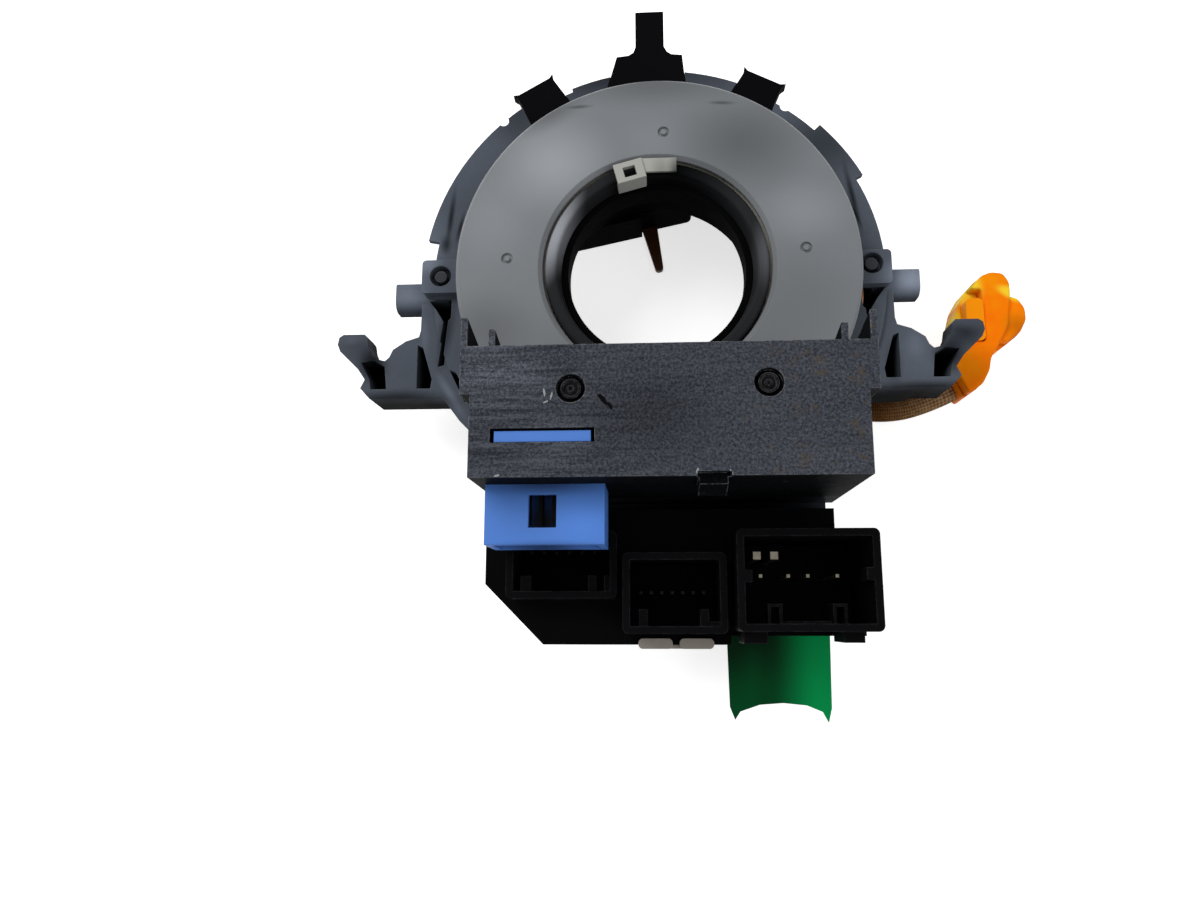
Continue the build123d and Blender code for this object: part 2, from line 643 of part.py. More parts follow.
def make_outer_terminal():
    terminal = block((CABLE_END, STATOR_RADIUS), (-TERMINAL_WIDTH / 2, TERMINAL_WIDTH / 2), CABLE_Z)
    return terminal & rod(STATOR_RADIUS - WALL, CABLE_Z)


def make_inner_terminal():
    z = (ROTOR_BACK, CABLE_Z[1] - 1.0)
    x = (HUB_RADIUS - 1, CABLE_START - 0.3)
    return block(x, (-TERMINAL_WIDTH / 2, TERMINAL_WIDTH / 2), z) - rod(HUB_RADIUS, z)


# Stator: the sensor box, its base and what it holds
BOX_FACE = COVER_FACE + BOX_HEIGHT
PLATE_FRONT = BOX_FACE - BOX_PLATE
BOX_OPEN = COVER_FACE + BASE_WALL
STAKES = ((-16.1, BOX_TOP - 8.3), (19.8, BOX_TOP - 7.7))
STAKE_RECESS = 2.7
STAKE_FLOOR = BOX_FACE - 1.6
STAKE_HEAD = 1.9
STAKE_CAP = 0.7
STAKE_RIM = 0.5
STAKE_PIP = 0.7
STAKE_RADIUS = 1.2
SLOT_X = (-30.8, -11.7)
SLOT_Y = (BOX_BOTTOM + 6.3, BOX_BOTTOM + 9.0)
NOTCH_X = (6.6, 12.8)
NOTCH_DEPTH = 0.8
LATCH_REACH = 2.6
LATCH_HEIGHT = 12.0
FIN_HEIGHT = 5.5
FIN_WALL = 1.2
SMALL_FIN_HEIGHT = 3.2
SMALL_FIN_INSET = 5.8
FIN_SLOPE = (BOX_FACE - BOX_OPEN - 0.4) / FIN_HEIGHT
FINS = (
    (BOX_LEFT + FIN_WALL / 2, FIN_HEIGHT), (BOX_LEFT + SMALL_FIN_INSET, SMALL_FIN_HEIGHT),
    (BOX_RIGHT - FIN_WALL / 2, FIN_HEIGHT), (BOX_RIGHT - SMALL_FIN_INSET, SMALL_FIN_HEIGHT),
)
PLUG_IN_X = (-33.1, -10.4)
PLUG_IN_Z = (17.0, 30.0)


def box_section(inset):
    """Outline of the box, seen from the rear, drawn in by inset."""
    left, right = BOX_LEFT + inset, BOX_RIGHT - inset
    low_left, low_right = left + BOX_INSET, right - BOX_INSET
    top, bottom = BOX_TOP - inset, BOX_BOTTOM + inset
    step = BOX_STEP + inset
    return [
        (left, top), (right, top), (right, step), (low_right, step),
        (low_right, bottom), (low_left, bottom), (low_left, step), (left, step),
    ]


def side_prism(profile, x):
    """Prism along X over an outline of (y, z) points."""
    face = make_face(Plane.YZ * Polyline(*profile, close=True))
    return Pos(x[0], 0, 0) * extrude(face, x[1] - x[0], dir=(1, 0, 0))


def make_sensor_box():
    box = prism(box_section(0), (BOX_OPEN, BOX_FACE))
    box -= prism(box_section(WALL), (BOX_OPEN, PLATE_FRONT))
    box -= block(SLOT_X, SLOT_Y, (PLATE_FRONT, BOX_FACE))
    box -= block(NOTCH_X, (BOX_BOTTOM, BOX_BOTTOM + NOTCH_DEPTH), (PLATE_FRONT, BOX_FACE))
    latch = [
        (BOX_BOTTOM + WALL, PLATE_FRONT), (BOX_BOTTOM - LATCH_REACH / 2, PLATE_FRONT),
        (BOX_BOTTOM - LATCH_REACH, PLATE_FRONT - LATCH_HEIGHT / 2),
        (BOX_BOTTOM + WALL, PLATE_FRONT - LATCH_HEIGHT),
    ]
    box += side_prism(latch, (NOTCH_X[0] + 0.4, NOTCH_X[1] - 0.6))
    mouth_x = (PLUG_IN_X[0] - FIT, PLUG_IN_X[1] + FIT)
    mouth_z = (PLUG_IN_Z[0] - FIT, PLUG_IN_Z[1] + FIT)
    box -= block(mouth_x, (BOX_BOTTOM, BOX_BOTTOM + WALL), mouth_z)
    for stake in STAKES:
        box += rod(STAKE_RECESS + 1.2, (PLATE_FRONT - 1.0, PLATE_FRONT), stake)
        box -= rod(STAKE_RECESS, (STAKE_FLOOR, BOX_FACE), stake)
        box -= rod(STAKE_RADIUS + FIT, (PLATE_FRONT - 1.0, BOX_FACE), stake)
    for x, height in FINS:
        profile = [
            (BOX_TOP, BOX_FACE), (BOX_TOP + height, BOX_FACE),
            (BOX_TOP, BOX_FACE - FIN_SLOPE * height),
        ]
        box += side_prism(profile, (x - FIN_WALL / 2, x + FIN_WALL / 2))
    return box


def make_box_base():
    return prism(box_section(0), (COVER_FACE, BOX_OPEN))


BOARD_Z = (BOX_OPEN + 2.5, BOX_OPEN + 3.9)


def make_sensor_board():
    inset = WALL + 0.4
    left, right = BOX_LEFT + BOX_INSET + inset, BOX_RIGHT - BOX_INSET - inset
    board = block((left, right), (BOX_BOTTOM + inset, BOX_TOP - inset), BOARD_Z)
    for stake in STAKES:
        board -= rod(STAKE_RADIUS + FIT, BOARD_Z, stake)
    return board


def make_box_stakes():
    stakes = []
    for stake in STAKES:
        post = rod(STAKE_RADIUS, (BOX_OPEN, STAKE_FLOOR), stake)
        post += rod(STAKE_HEAD, (STAKE_FLOOR, STAKE_FLOOR + STAKE_CAP), stake)
        rim_z = (STAKE_FLOOR, STAKE_FLOOR + STAKE_CAP + STAKE_RIM)
        post += ring(STAKE_HEAD, STAKE_HEAD - STAKE_RIM, rim_z, stake)
        post += ring(STAKE_PIP, STAKE_PIP / 2, rim_z, stake)
        foot = rod(STAKE_RADIUS + 1.0, (BOX_OPEN, BOARD_Z[0]), stake)
        stakes.append(post + foot)
    return Compound(stakes)


# Stator: the blue connector of the sensor box
BLUE_REACH = 11.4
BLUE_SEAT = 7.5
BLUE_BOTTOM = BOX_BOTTOM - BLUE_REACH
BLUE_BACK = BOX_BOTTOM + BLUE_SEAT
BLUE_WALL = 1.4
BLUE_CAVITY = BOX_BOTTOM + 1.0
BLUE_WINDOW = (-24.8, -19.5)
BLUE_BRIDGE = 1.9
BLUE_LIP = 3.2


def make_blue_connector():
    shell = block(PLUG_IN_X, (BLUE_BOTTOM, BLUE_BACK), PLUG_IN_Z)
    cavity_x = (PLUG_IN_X[0] + BLUE_WALL, PLUG_IN_X[1] - BLUE_WALL)
    cavity_z = (PLUG_IN_Z[0] + BLUE_WALL, PLUG_IN_Z[1] - BLUE_WALL)
    shell -= block(cavity_x, (BLUE_BOTTOM, BLUE_CAVITY), cavity_z)
    roof_z = (PLUG_IN_Z[1] - BLUE_WALL, PLUG_IN_Z[1])
    shell -= block(BLUE_WINDOW, (BLUE_BOTTOM + BLUE_LIP, BOX_BOTTOM - BLUE_BRIDGE), roof_z)
    key_z = (PLUG_IN_Z[1], BOX_FACE - 0.6)
    shell += block((SLOT_X[0] + 0.7, SLOT_X[1] - 0.7), (SLOT_Y[0] + 0.2, SLOT_Y[1] - 0.45), key_z)
    return shell


BLUE_PIN = 0.32
BLUE_PIN_Y = (BLUE_BOTTOM + 4.5, BLUE_CAVITY)
BLUE_PIN_PITCH = 2.6
BLUE_ROW_PITCH = 3.6


def make_blue_pins():
    pins = []
    middle = (PLUG_IN_X[0] + PLUG_IN_X[1]) / 2
    for column in range(6):
        for row in range(2):
            x = middle + BLUE_PIN_PITCH * (column - 2.5)
            z = (PLUG_IN_Z[0] + PLUG_IN_Z[1]) / 2 + BLUE_ROW_PITCH * (row - 0.5)
            pin = block((x - BLUE_PIN, x + BLUE_PIN), BLUE_PIN_Y, (z - BLUE_PIN, z + BLUE_PIN))
            pins.append(pin)
    return Compound(pins)


# Stator: the connector block with its three sockets; y is taken from the block's top
SOCKETS = {
    "left": ((-31.2, -8.7), (-17.5, -4.0), 16.0),
    "middle": ((-7.6, 13.0), (-24.4, -8.5), 18.0),
    "right": ((14.6, 42.0), (-23.9, -4.3), 22.0),
}
BLOCK_FACE = COVER_FACE
SOCKET_PIN_DEPTH = 5.0
SOCKET_ROUND = 1.2
RIDGE_X = (-8.4, BLOCK_RIGHT - BLOCK_CORNER)
RIDGE_REACH = 1.2
PALE_X = ((-4.7, 2.3), (3.7, 10.7))
PALE_DEPTH = 1.4
RIB_DEPTH = 5.0

# What stands inside the sockets: plan boxes beside the block's top, with their heights
SOCKET_RIBS = [
    ((-28.3, -26.2), (-16.4, -12.9), 15.0), ((-14.6, -12.9), (-16.4, -12.9), 15.0),
    ((-11.4, -9.9), (-16.4, -12.9), 15.0),
    ((-4.4, -2.6), (-23.3, -19.6), 16.5), ((7.6, 9.4), (-23.3, -19.6), 16.5),
    ((9.4, 11.9), (-23.3, -22.0), 16.5),
    ((15.4, 17.5), (-14.6, -12.2), 22.0), ((39.1, 41.2), (-14.2, -11.8), 22.0),
    ((23.0, 33.0), (-22.9, -21.9), 17.5),
]
SOCKET_LOOPS = [((20.7, 23.5), (-23.0, -18.6)), ((33.2, 36.0), (-23.0, -18.6))]
LOOP_WALL = 0.6
LOOP_TOP = 18.0
FEET = [((15.8, 20.4), (-26.2, -23.5)), ((35.0, 38.8), (-26.0, -23.5))]
FOOT_Z = (BLOCK_FACE, BLOCK_FACE + 11.0)


def from_top(y):
    return (BLOCK_TOP + y[0], BLOCK_TOP + y[1])


def make_connector_block():
    z = (STATOR_FRONT, BLOCK_FACE)
    shoulder = BLOCK_TOP - BLOCK_SHOULDER
    step = BLOCK_BOTTOM + BLOCK_STEP
    outline = [
        (BLOCK_LEFT, BLOCK_TOP), (BLOCK_RIGHT - BLOCK_CORNER, BLOCK_TOP),
        (BLOCK_RIGHT - BLOCK_CORNER, shoulder), (BLOCK_RIGHT, shoulder - BLOCK_SLANT),
        (BLOCK_RIGHT, step), (BLOCK_STEP_X, step), (BLOCK_STEP_X, BLOCK_BOTTOM),
        (BLOCK_LEFT + BLOCK_CHAMFER, BLOCK_BOTTOM), (BLOCK_LEFT, BLOCK_BOTTOM + BLOCK_CHAMFER),
    ]
    body = prism(outline, z)
    hollow = offset(make_face(Polyline(*outline, close=True)), -BLOCK_WALL)
    body -= Pos(0, 0, STATOR_FRONT) * extrude(hollow, z[1] - z[0] - BLOCK_WALL)
    ridge_z = (PARTITION_FACE + FIT, BLOCK_FACE)
    body += block(RIDGE_X, (BLOCK_TOP, BLOCK_TOP + RIDGE_REACH), ridge_z)
    for x, y, rim in SOCKETS.values():
        outer = block(x, from_top(y), (SOCKET_FLOOR - BLOCK_WALL, rim))
        body += vertical_fillet(outer, SOCKET_ROUND)
    for x, y in FEET:
        body += block(x, from_top(y), FOOT_Z)
    for x, y, rim in SOCKETS.values():
        low, high = from_top(y)
        inner_x = (x[0] + SHROUD, x[1] - SHROUD)
        body -= block(inner_x, (low + SHROUD, high - SHROUD), (SOCKET_FLOOR, rim))
    for x, y, top in SOCKET_RIBS:
        body += block(x, from_top(y), (top - RIB_DEPTH, top))
    for x, y in SOCKET_LOOPS:
        low, high = from_top(y)
        loop_z = (LOOP_TOP - RIB_DEPTH, LOOP_TOP)
        body += block(x, (low, high), loop_z)
        eye_x = (x[0] + LOOP_WALL, x[1] - LOOP_WALL)
        body -= block(eye_x, (low + LOOP_WALL, high - LOOP_WALL), loop_z)
    for x in PALE_X:
        notch_x = (x[0] - FIT, x[1] + FIT)
        body -= block(notch_x, (BLOCK_BOTTOM, BLOCK_BOTTOM + PALE_DEPTH), (PALE_Z[0] - FIT, BLOCK_FACE))
    return body


# Pin places beside the block's top, for each socket
LEFT_PINS = [(-26.6 + 2.6 * index, -8.0) for index in range(6)]
MIDDLE_PINS = [(-4.0 + 2.1 * index, -16.3) for index in range(7)]
RIGHT_PINS = [(19.6, -13.2), (25.0, -13.2), (28.8, -13.2), (34.5, -13.2)]
RIGHT_BLADES = [(19.0, -9.2), (22.4, -9.2)]
SOCKET_PIN = 0.32
BLADE = 0.75


def make_socket_pins(name, places, half):
    rim = SOCKETS[name][2]
    z = (SOCKET_FLOOR, rim - SOCKET_PIN_DEPTH)
    pins = []
    for x, y in places:
        pins.append(square_pin((x, BLOCK_TOP + y), half, z))
    return pins


# Stator: the green insulating tab and the pale connector at the block's lower edge
TAB_X = (15.0, 38.2)
TAB_TEAR = [
    (0.3, -16.0), (1.4, -18.8), (2.6, -17.0), (7.0, -15.5), (12.2, -15.1), (17.4, -15.6),
    (20.9, -17.0), (22.1, -19.3), (22.9, -16.2),
]
TAB_WALL = 0.5
PALE_Z = (-8.0, BLOCK_FACE + 1.3)
PALE_REACH = 0.8


def make_green_tab():
    corner = (TAB_X[0], BLOCK_BOTTOM + BLOCK_STEP)
    outline = [(TAB_X[1], corner[1]), corner] + shifted(TAB_TEAR, corner)
    return prism(outline, (STATOR_FRONT, STATOR_FRONT + TAB_WALL))


def make_pale_connector():
    lumps = []
    for x in PALE_X:
        y = (BLOCK_BOTTOM - PALE_REACH, BLOCK_BOTTOM + PALE_DEPTH - FIT)
        lump = block(x, y, PALE_Z)
        lumps.append(vertical_fillet(lump, 0.9))
    bar_y = (BLOCK_BOTTOM - PALE_REACH, BLOCK_BOTTOM)
    bar = block((PALE_X[0][1] - 2.0, PALE_X[1][0] + 2.0), bar_y, (PALE_Z[0], BLOCK_FACE))
    return lumps[0] + lumps[1] + bar


def main():
    keep("rotor_hub", make_rotor_hub())
    keep("rotor_sleeve", make_rotor_sleeve())
    keep("sensor_drive_gear", make_drive_gear())
    keep("index_clip", make_index_clip())
    keep("connector_tower", make_connector_tower())
    keep("tower_pins", make_tower_pins())
    keep("contact_tongue", make_contact_tongue())
    keep("airbag_lead", make_airbag_lead())
    keep("lead_gland", make_lead_gland())
    keep("airbag_plug", make_airbag_plug())
    keep("plug_lock", make_plug_lock())
    for index in range(len(PINION_TEETH)):
        suffix = "ab"[index]
        keep("measuring_gear_" + suffix, make_measuring_gear(index))
        keep("magnet_" + suffix, make_magnet(index))
    keep("front_case", make_front_case())
    keep("stator_housing", make_stator_housing())
    keep("lug_rivets", make_lug_rivets())
    keep("back_cover", make_back_cover())
    keep("ribbon_cable", make_ribbon_cable())
    keep("cable_outer_terminal", make_outer_terminal())
    keep("cable_inner_terminal", make_inner_terminal())
    keep("sensor_box", make_sensor_box())
    keep("box_base", make_box_base())
    keep("sensor_board", make_sensor_board())
    keep("box_stakes", make_box_stakes())
    keep("blue_connector", make_blue_connector())
    keep("blue_connector_pins", make_blue_pins())
    keep("connector_block", make_connector_block())
    keep("left_socket_pins", Compound(make_socket_pins("left", LEFT_PINS, SOCKET_PIN)))
    keep("middle_socket_pins", Compound(make_socket_pins("middle", MIDDLE_PINS, SOCKET_PIN)))
    right_pins = make_socket_pins("right", RIGHT_PINS, SOCKET_PIN)
    right_blades = make_socket_pins("right", RIGHT_BLADES, BLADE)
    keep("right_socket_pins", Compound(right_pins + right_blades))
    keep("green_tab", make_green_tab())
    keep("pale_connector", make_pale_connector())


main()
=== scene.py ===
"""Looks of a steering clock spring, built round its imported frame.

The frame gives every rigid piece. This file adds the airbag lead as a smooth cord, its
rounded plug and the sloping wall of the right wing. It gives every surface its finish,
and sets up the table, the lights and the camera.
"""
import logging
import math
from dataclasses import dataclass
from enum import Enum

import bmesh
import bpy
from mathutils import Matrix, Vector

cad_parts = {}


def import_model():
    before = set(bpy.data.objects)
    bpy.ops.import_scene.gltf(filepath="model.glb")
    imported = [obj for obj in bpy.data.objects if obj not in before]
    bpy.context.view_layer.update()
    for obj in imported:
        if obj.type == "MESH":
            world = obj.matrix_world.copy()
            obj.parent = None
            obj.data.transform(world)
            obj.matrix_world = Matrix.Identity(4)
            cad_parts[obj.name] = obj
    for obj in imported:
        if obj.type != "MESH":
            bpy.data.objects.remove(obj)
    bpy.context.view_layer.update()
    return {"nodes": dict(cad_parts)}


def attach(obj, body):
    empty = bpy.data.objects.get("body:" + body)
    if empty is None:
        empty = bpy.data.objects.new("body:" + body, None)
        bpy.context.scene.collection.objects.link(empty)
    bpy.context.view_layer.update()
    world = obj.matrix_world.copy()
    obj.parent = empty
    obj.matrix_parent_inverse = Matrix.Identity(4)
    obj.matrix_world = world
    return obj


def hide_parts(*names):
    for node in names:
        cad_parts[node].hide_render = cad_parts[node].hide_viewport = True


LOG = logging.getLogger("clock_spring")
MM = 0.001
BEVEL_SAMPLES = 6
EDGE_CUT = (0.015, 0.2)
Colour = tuple[float, float, float]
Place = tuple[float, float, float]
Pair = tuple[float, float]
Outline = tuple[Pair, ...]


class Axis(Enum):
    """Axes of the object coordinates: x to the right, y up, z towards the rear."""

    X = "X"
    Y = "Y"
    Z = "Z"


class Body(Enum):
    """Bodies of the frame that the new pieces ride on."""

    STATOR = "stator"
    ROTOR = "rotor"


class Slot(Enum):
    """Material slots that go with the new pieces."""

    HOUSING = "grey_housing"
    LEAD = "lead_sleeve"
    PLUG = "orange_plastic"


@dataclass(frozen=True)
class Patch:
    """A soft oval place on a finish, seen from the rear.

    Middle and reach are in millimetres, the turn is in degrees. The gain multiplies the
    colour at the middle, where the patch is used for light and shade.
    """

    x: float
    y: float
    reach_x: float
    reach_y: float
    gain: float = 1.0
    turn: float = 0.0


@dataclass(frozen=True)
class Fade:
    """Shade that grows downwards: from high to low, in millimetres, the gain falls to least."""

    high: float
    low: float
    least: float


@dataclass(frozen=True)
class Well:
    """Shade inside an opening: a patch that counts only below a height in millimetres."""

    patch: Patch
    top: float
    softness: float = 0.5


class Sock:
    """A shader socket that can be used in Python expressions."""

    def __init__(self, graph: "Graph", socket: bpy.types.NodeSocket) -> None:
        """Wraps one output socket of a graph's node tree."""
        self.graph = graph
        self.socket = socket

    def _math(self, operation: str, first: object, second: object = 0.0) -> "Sock":
        """Adds a Math node and returns its value.

        Args:
            operation: The Math node's operation.
            first: Socket or number.
            second: Socket or number.

        Returns:
            The node's output.
        """
        return self.graph.node("ShaderNodeMath", {"operation": operation}, {0: first, 1: second})

    def __add__(self, other: object) -> "Sock":
        """Sum."""
        return self._math("ADD", self, other)

    def __radd__(self, other: object) -> "Sock":
        """Sum, reflected."""
        return self._math("ADD", other, self)

    def __sub__(self, other: object) -> "Sock":
        """Difference."""
        return self._math("SUBTRACT", self, other)

    def __rsub__(self, other: object) -> "Sock":
        """Difference, reflected."""
        return self._math("SUBTRACT", other, self)

    def __mul__(self, other: object) -> "Sock":
        """Product."""
        return self._math("MULTIPLY", self, other)

    def __rmul__(self, other: object) -> "Sock":
        """Product, reflected."""
        return self._math("MULTIPLY", other, self)

    def larger(self, other: object) -> "Sock":
        """The larger of two values."""
        return self._math("MAXIMUM", self, other)

    def sine(self) -> "Sock":
        """Sine of an angle in radians."""
        return self._math("SINE", self)

    def size(self) -> "Sock":
        """The value without its sign."""
        return self._math("ABSOLUTE", self)

    def ramp(self, low: float, high: float) -> "Sock":
        """Smooth step from 0 at low to 1 at high, or the other way round.

        Args:
            low: Value that gives 0.
            high: Value that gives 1.

        Returns:
            The eased value.
        """
        flip = low > high
        start, stop = (high, low) if flip else (low, high)
        ends = {1: start, 2: stop, 3: 1.0 if flip else 0.0, 4: 0.0 if flip else 1.0}
        settings = {"interpolation_type": "SMOOTHSTEP"}
        return self.graph.node("ShaderNodeMapRange", settings, {0: self, **ends})


class Graph:
    """Builds nodes in one node tree."""

    def __init__(self, tree: bpy.types.NodeTree) -> None:
        """Takes the tree that the nodes go into."""
        self.tree = tree

    def node(self, kind: str, settings: dict[str, object], inputs: dict[object, object],
             output: object = 0) -> Sock:
        """Creates a node, sets it up and links it.

        Args:
            kind: The node's type.
            settings: Attributes of the node, which are set first.
            inputs: Values or sockets by input name or index.
            output: Name or index of the output to return.

        Returns:
            The chosen output.
        """
        node = self.tree.nodes.new(kind)
        for key, value in settings.items():
            setattr(node, key, value)
        for key, value in inputs.items():
            self.supply(node.inputs[key], value)
        return Sock(self, node.outputs[output])

    def supply(self, socket: bpy.types.NodeSocket, value: object) -> None:
        """Sets an input socket of the tree, or links it where the value is a socket.

        Args:
            socket: The input.
            value: Its value, or the output that feeds it.
        """
        if isinstance(value, Sock):
            self.tree.links.new(value.socket, socket)
        else:
            socket.default_value = value

    def seen(self) -> Sock:
        """Marks the rays that show the background: the camera's, glossy and transmitted ones.

        Returns:
            1 for these rays and 0 for the others.
        """
        share = self.node("ShaderNodeLightPath", {}, {}, "Is Camera Ray")
        for kind in ("Is Glossy Ray", "Is Transmission Ray"):
            share = share.larger(self.node("ShaderNodeLightPath", {}, {}, kind))
        return share


class Paint(Graph):
    """Builds one material's nodes."""

    def __init__(self, name: str) -> None:
        """Makes an empty material with a Principled shader.

        Args:
            name: Name of the material.
        """
        self.material = bpy.data.materials.new(name)
        self.material.use_nodes = True
        super().__init__(self.material.node_tree)
        self.shader = self.tree.nodes["Principled BSDF"]
        self.coordinates = self.node("ShaderNodeTexCoord", {}, {}, "Object")

    def feed(self, name: str, value: object) -> None:
        """Sets or links one input of the Principled shader."""
        self.supply(self.shader.inputs[name], value)

    def along(self, axis: Axis, start: float, stop: float) -> Sock:
        """Smooth step along an axis, from 0 at one place to 1 at another.

        Args:
            axis: The axis.
            start: Place that gives 0, in millimetres.
            stop: Place that gives 1, in millimetres.

        Returns:
            The eased value.
        """
        place = self.node("ShaderNodeSeparateXYZ", {}, {0: self.coordinates}, axis.value)
        return place.ramp(start * MM, stop * MM)

    def stretched(self, scale: Place) -> Sock:
        """Object coordinates, multiplied by a scale along each axis."""
        return self.node("ShaderNodeMapping", {}, {"Vector": self.coordinates, "Scale": scale})

    def noise(self, scale: float, detail: float = 3.0, rough: float = 0.55,
              at: Sock | None = None) -> Sock:
        """Fractal noise round 0.5.

        Args:
            scale: Features per metre.
            detail: Octaves.
            rough: Weight of the finer octaves.
            at: Coordinates, the object's own by default.

        Returns:
            The noise value.
        """
        inputs = {"Vector": at or self.coordinates, "Scale": scale, "Detail": detail,
                  "Roughness": rough}
        return self.node("ShaderNodeTexNoise", {}, inputs, "Fac")

    def mix(self, factor: object, first: object, second: object) -> Sock:
        """Mixes two colours.

        Args:
            factor: Share of the second colour.
            first: Colour or socket.
            second: Colour or socket.

        Returns:
            The mixed colour.
        """
        one, two = (c if isinstance(c, Sock) else (*c, 1.0) for c in (first, second))
        return self.node("ShaderNodeMix", {"data_type": "RGBA"}, {0: factor, 6: one, 7: two}, 2)

    def spot(self, patch: Patch) -> Sock:
        """Share of a patch, from 1 at its middle to 0 at its reach.

        Args:
            patch: The patch.

        Returns:
            The eased share.
        """
        inputs = {
            "Vector": self.coordinates, "Location": (patch.x * MM, patch.y * MM, 0.0),
            "Rotation": (0.0, 0.0, math.radians(patch.turn)),
            "Scale": (patch.reach_x * MM, patch.reach_y * MM, 1.0),
        }
        centred = self.node("ShaderNodeMapping", {"vector_type": "TEXTURE"}, inputs)
        length = {"operation": "LENGTH"}
        return self.node("ShaderNodeVectorMath", length, {0: centred}, "Value").ramp(1.0, 0.0)

    def strongest(self, patches: tuple[Patch, ...]) -> Sock:
        """Share of the strongest of a set of patches.

        Args:
            patches: The patches.

        Returns:
            The share, from 0 to 1.
        """
        share = self.spot(patches[0])
        for patch in patches[1:]:
            share = share.larger(self.spot(patch))
        return share

    def shaded(self, colour: Sock, patches: tuple[Patch, ...], gain: object = 1.0) -> Sock:
        """Paints light and shade into a colour: lightens or darkens it by a gain and a set of patches.

        Args:
            colour: Colour to change.
            patches: Where it changes.
            gain: Socket or number that multiplies it everywhere.

        Returns:
            The changed colour.
        """
        for patch in patches:
            gain = (self.spot(patch) * (patch.gain - 1.0) + 1.0) * gain
        inputs = {0: colour, "Scale": gain}
        return self.node("ShaderNodeVectorMath", {"operation": "SCALE"}, inputs, "Vector")

    def edges(self, width: float) -> Sock:
        """Share of wear along the edges that a rounding of this width in metres reaches.

        Args:
            width: Radius of the rounding.

        Returns:
            The share, from 0 on flat faces to 1 on edges.
        """
        soft = self.node("ShaderNodeBevel", {"samples": BEVEL_SAMPLES}, {"Radius": width})
        sharp = self.node("ShaderNodeNewGeometry", {}, {}, "Normal")
        dot = {"operation": "DOT_PRODUCT"}
        match = self.node("ShaderNodeVectorMath", dot, {0: soft, 1: sharp}, "Value")
        return (1.0 - match).ramp(*EDGE_CUT)

    def bump(self, height: Sock, distance: float, strength: float, rounding: float = 0.0) -> None:
        """Feeds a height into the shader's normal, over edges rounded by a bevel.

        Args:
            height: Height from 0 to 1.
            distance: Height of 1, in metres.
            strength: Share of the effect.
            rounding: Radius of the softened edges, in metres.
        """
        inputs = {"Height": height, "Distance": distance, "Strength": strength}
        if rounding:
            bevel = {"samples": BEVEL_SAMPLES}
            inputs["Normal"] = self.node("ShaderNodeBevel", bevel, {"Radius": rounding})
        self.feed("Normal", self.node("ShaderNodeBump", {}, inputs))

    def uneven(self, mean: float, spread: float, scale: float) -> None:
        """Feeds a roughness that varies over the surface.

        Args:
            mean: Middle of its range.
            spread: Width of its range.
            scale: Features per metre.
        """
        self.feed("Roughness", self.noise(scale) * spread + (mean - spread / 2.0))


@dataclass(frozen=True)
class Finish:
    """A procedural finish that is made into one material.

    In every finish, scales are in features per metre, depths and radii in metres. A cut
    is the pair of noise values between which a mark fades in, and a share is its strength.
    """

    name: str

    def material(self) -> bpy.types.Material:
        """Builds the finish.

        Returns:
            The finished material.
        """
        paint = Paint(self.name)
        self.coat(paint)
        return paint.material

    def coat(self, paint: Paint) -> None:
        """Feeds the finish into a material's shader."""
        raise NotImplementedError


@dataclass(frozen=True)
class Moulded(Finish):
    """Moulded plastic: grain, mottling, dust, rubbed edges, and painted light and shade."""

    colour: Colour
    worn: Colour
    roughness: float = 0.45
    mottle: float = 0.25
    wear: float = 0.35
    gloss: float = 0.2
    # Patches of painted light and shade.
    patches: tuple[Patch, ...] = ()
    fade: Fade | None = None
    well: Well | None = None
    cloud_scale: float = 55.0
    speck_scale: float = 900.0
    rub_scale: float = 700.0
    rub_cut: Pair = (0.3, 0.7)
    rub_width: float = 1.6
    smudge_scale: float = 160.0
    smudge_spread: float = 0.24
    grain_scale: float = 2600.0
    grain_depth: float = 0.04 * MM
    grain_strength: float = 0.55
    rounding: float = 0.3 * MM

    def coat(self, paint: Paint) -> None:
        """Feeds the finish into a material's shader.

        Args:
            paint: The material's nodes.
        """
        colour = paint.shaded(self._colour(paint), self.patches, self._gain(paint))
        paint.feed("Base Color", colour)
        paint.uneven(self.roughness, self.smudge_spread, self.smudge_scale)
        paint.feed("Specular IOR Level", self.gloss)
        grain = paint.noise(self.grain_scale, rough=0.6)
        paint.bump(grain, self.grain_depth, self.grain_strength, self.rounding)

    def _colour(self, paint: Paint) -> Sock:
        """Mottled plastic with rubbed edges.

        Args:
            paint: The material's nodes.

        Returns:
            The colour before shade.
        """
        clouds = paint.noise(self.cloud_scale, 4.0) - 0.5
        specks = paint.noise(self.speck_scale, rough=0.7) - 0.5
        shade = clouds * self.mottle * 2.0 + specks * self.mottle + 0.5
        dark = tuple(c * (1.0 - self.mottle) for c in self.colour)
        light = tuple(c * (1.0 + self.mottle) + 0.01 * self.mottle for c in self.colour)
        broken = paint.noise(self.rub_scale, rough=0.7).ramp(*self.rub_cut)
        rub = paint.edges(self.rounding * self.rub_width) * broken * self.wear
        return paint.mix(rub, paint.mix(shade, dark, light), self.worn)

    def _gain(self, paint: Paint) -> object:
        """Painted shade of deep walls and of the inside of an opening.

        Args:
            paint: The material's nodes.

        Returns:
            Socket or number that multiplies the colour.
        """
        gain = 1.0
        if self.fade:
            rise = paint.along(Axis.Z, self.fade.low, self.fade.high)
            gain = rise * (1.0 - self.fade.least) + self.fade.least
        if self.well:
            below = paint.along(Axis.Z, self.well.top, self.well.top - self.well.softness)
            inside = paint.spot(self.well.patch) * below
            gain = (inside * (self.well.patch.gain - 1.0) + 1.0) * gain
        return gain


